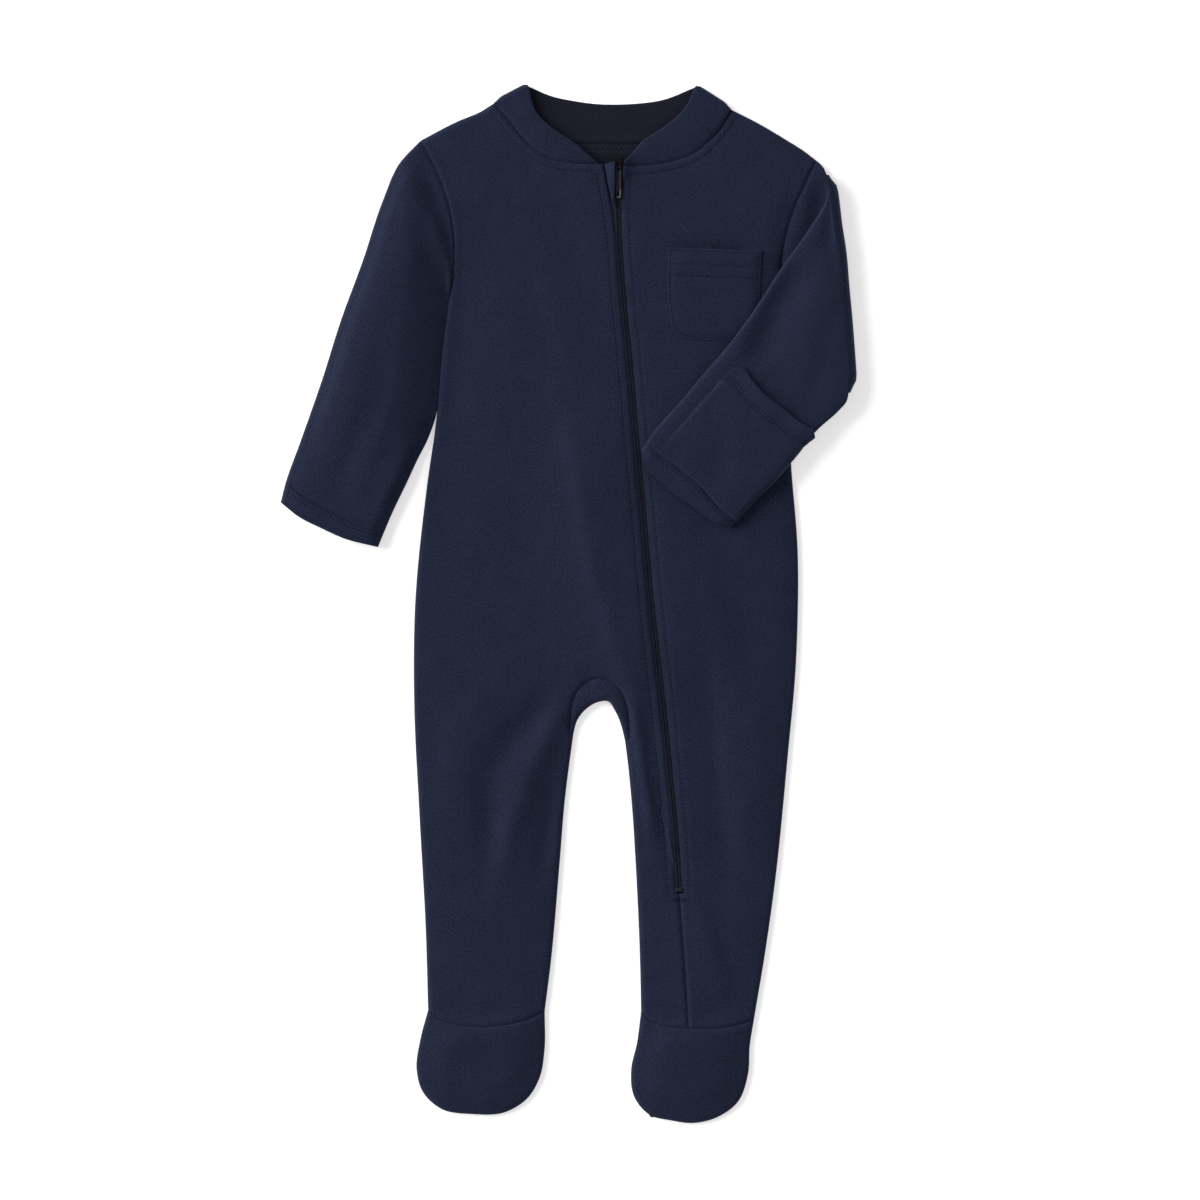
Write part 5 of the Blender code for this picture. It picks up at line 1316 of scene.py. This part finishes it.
# ---- stitching
def stitch_shape(length, half=THREAD_HALF):
    """One stitch: a short thread that dips into the cloth at both ends."""
    along = np.array([-0.5, -0.36, 0.0, 0.36, 0.5]) * length
    drop = np.array([-0.34, -0.04, 0.03, -0.04, -0.34])
    girth = np.array([0.55, 1.0, 1.05, 1.0, 0.55]) * half
    turn = np.radians(np.arange(0, 360, 60))
    points = np.array([(g * math.cos(a), y, d + g * math.sin(a))
                       for y, d, g in zip(along, drop, girth) for a in turn])
    return points, grid_faces(5, 6, True) + [tuple(range(6)), tuple(range(24, 30))]


class Stitching:
    """Rows of stitches gathered into one piece."""

    def __init__(self):
        self.points, self.faces = [], []

    def row(self, path, length=STITCH, gap=STITCH_GAP, rise=0.0, half=THREAD_HALF):
        """Stitches along a path of points; each lies on the cloth's own level."""
        walked = walk(path)
        count = max(int(walked[-1] / (length + gap)), 1)
        middles = (np.arange(count) + 0.5) * walked[-1] / count

        def at(reach):
            return np.column_stack([np.interp(reach, walked, path[:, k]) for k in range(3)])

        ahead = unit(at(middles + length / 2) - at(middles - length / 2))
        side = unit(raised(-leftward(ahead), np.zeros(count)))
        up = np.cross(side, ahead)
        centre = at(middles) + up * (rise - 0.06)
        points, faces = repeated(*stitch_shape(length, half), centre, side, ahead, up)
        self.faces += [tuple(len(self.points) + p for p in face) for face in faces]
        self.points += [*points]

    def piece(self, name, slot, thread=THREAD):
        place_piece(name, mesh_from(name, self.points, self.faces), thread)


def stitch_neck():
    neck, inside_neck = Stitching(), Stitching()
    for seam, side, last in ((NECK_SEAM_RIGHT, -1, -3), (NECK_SEAM_LEFT, 1, -6)):
        neck.row(front_skins(beside(sample(seam, 1.0), side * NECK_STITCH)[4:last])[0])
    neck.piece("neck_stitching", "front_right")
    for distance, swing in ((-2.9, 1.4), (-6.6, 0.5)):      # zigzags on the back's inner side
        line = beside(sample(NECK_SEAM_BACK, 1.0), distance)
        line = line[(line[:, 0] > -12) & (line[:, 0] < 70)]
        xs = np.arange(line[0, 0], line[-1, 0], 1.4)
        ys = np.interp(xs, *line.T) + np.where(np.arange(len(xs)) % 2, swing, -swing)
        line, zig = raised(xs, ys), math.hypot(1.4, 2 * swing)
        inside_neck.row(raised(line, back_skins(line)[0][:, 2]), 0.85 * zig, 0.148 * zig, 0.15, 0.2)
    inside_neck.piece("neck_inside_stitching", "back_body", THREAD_LIGHT)


def stitch_zip():
    zipper = Stitching()
    for edge, away in ((ZIP_EDGE_RIGHT, -WELT_STITCH[0]), (ZIP_EDGE_LEFT, WELT_STITCH[1])):
        line = beside(edge, away)
        line = line[(line[:, 1] > ZIP_BOTTOM - 4.0) & (line[:, 1] < 260.0)]
        zipper.row(front_skins(line)[0], length=1.9)
    end = np.array(ZIP_LINE[-1])
    for drop in BAR_ROWS:
        bar = edge_line(end + (-BAR_HALF, -drop), end + (BAR_HALF, -drop), 20)
        zipper.row(front_skins(bar)[0], length=1.5, gap=0.1)
    zipper.piece("zip_stitching", "front_left")


def stitch_pocket():
    pocket = Stitching()
    inner = POCKET_CUT + inward(POCKET_CUT) * POCKET_STITCH
    sides = inner[gap_to(inner, POCKET_TOP) > 1.5]
    start = np.argmax(np.linalg.norm(np.roll(sides, -1, axis=0) - sides, axis=1)) + 1
    pocket.row(pocket_skins(np.roll(sides, -start, axis=0))[0])
    for row in POCKET_ROWS:
        pocket.row(pocket_skins(edge_line(POCKET[0] + np.array((2.6, -row)),
                                          POCKET[1] - np.array((2.8, row)), 60))[0])
    pocket.piece("pocket_stitching", "pocket")


def stitch_sleeves():
    cuffs, mitten = Stitching(), Stitching()
    shares = np.linspace(0.04, 0.96, 60)
    for from_cuff in (CUFF_HEM - 0.8, CUFF_HEM - 3.2):
        cuffs.row(right_arm_top(1 - from_cuff / RIGHT_LENGTH, shares))
    cuffs.row(forearm_top(seam_at(shares) + 2.4 / length_at(shares), shares))
    cuffs.piece("cuff_stitching", "sleeve_right")
    outer, _, grain = mitten_grid()
    for distance in (MITTEN_HEM, MITTEN_HEM + MITTEN_ROW_GAP):
        row = [[np.interp(distance, grain[:, c, 1], outer[:, c, k]) for k in range(3)]
               for c in range(2, outer.shape[1] - 2)]
        mitten.row(np.array(row))
    mitten.piece("mitten_stitching", "mitten_left")


# ---- stage, light and camera
WHITE = (1.0, 1.0, 1.0, 1.0)
FRAME_WIDTH = 0.720              # metres across the square picture
VIEW_CENTRE = (0.0192, 0.0021)


def make_stage():
    bpy.ops.mesh.primitive_plane_add(size=8.0, location=(0, 0, -0.0002))
    floor = bpy.context.object
    floor.name = "floor"
    material, _, _ = new_material("pale_floor", 0.9, Base_Color=(0.92, 0.92, 0.92, 1.0),
                                  Specular_IOR_Level=0.0, Emission_Strength=0.45,
                                  Emission_Color=WHITE)
    floor.data.materials.append(material)


def make_light(name, place, size, power, target=(0.02, 0.0, 0.0)):
    data = bpy.data.lights.new(name, "AREA")
    data.shape, data.size, data.energy = "SQUARE", size, power
    lamp = new_object(name, data, place)
    lamp.rotation_euler = (Vector(target) - Vector(place)).to_track_quat("-Z", "Y").to_euler()


def make_camera():
    data = bpy.data.cameras.new("camera")
    data.type, data.ortho_scale = "ORTHO", FRAME_WIDTH
    bpy.context.scene.camera = new_object("camera", data, (*VIEW_CENTRE, 1.5))


def light_scene():
    world = bpy.data.worlds.new("studio")
    world.use_nodes = True
    background = world.node_tree.nodes["Background"].inputs
    background["Color"].default_value, background["Strength"].default_value = WHITE, 0.27
    bpy.context.scene.world = world
    bpy.context.scene.view_settings.view_transform = "Standard"
    make_light("key", (-7.4, 3.2, 3.45), 6.5, 1270.0)
    make_light("fill", (2.4, -1.0, 3.2), 2.4, 27.0)


make_stage()
make_back()
make_fronts()
make_gusset()
make_foot("right", FOOT_RIGHT, ANKLE_RIGHT, BACK_ANKLE_RIGHT)
make_foot("left", FOOT_LEFT, ANKLE_LEFT, BACK_ANKLE_LEFT)
make_sleeve_right()
make_sleeve_left()
make_mitten_right()
make_mitten_left()
make_neckband()
make_pocket()
make_tapes()
make_chain()
make_garage()
finish_metal()
stitch_neck()
stitch_zip()
stitch_pocket()
stitch_sleeves()
light_scene()
make_camera()
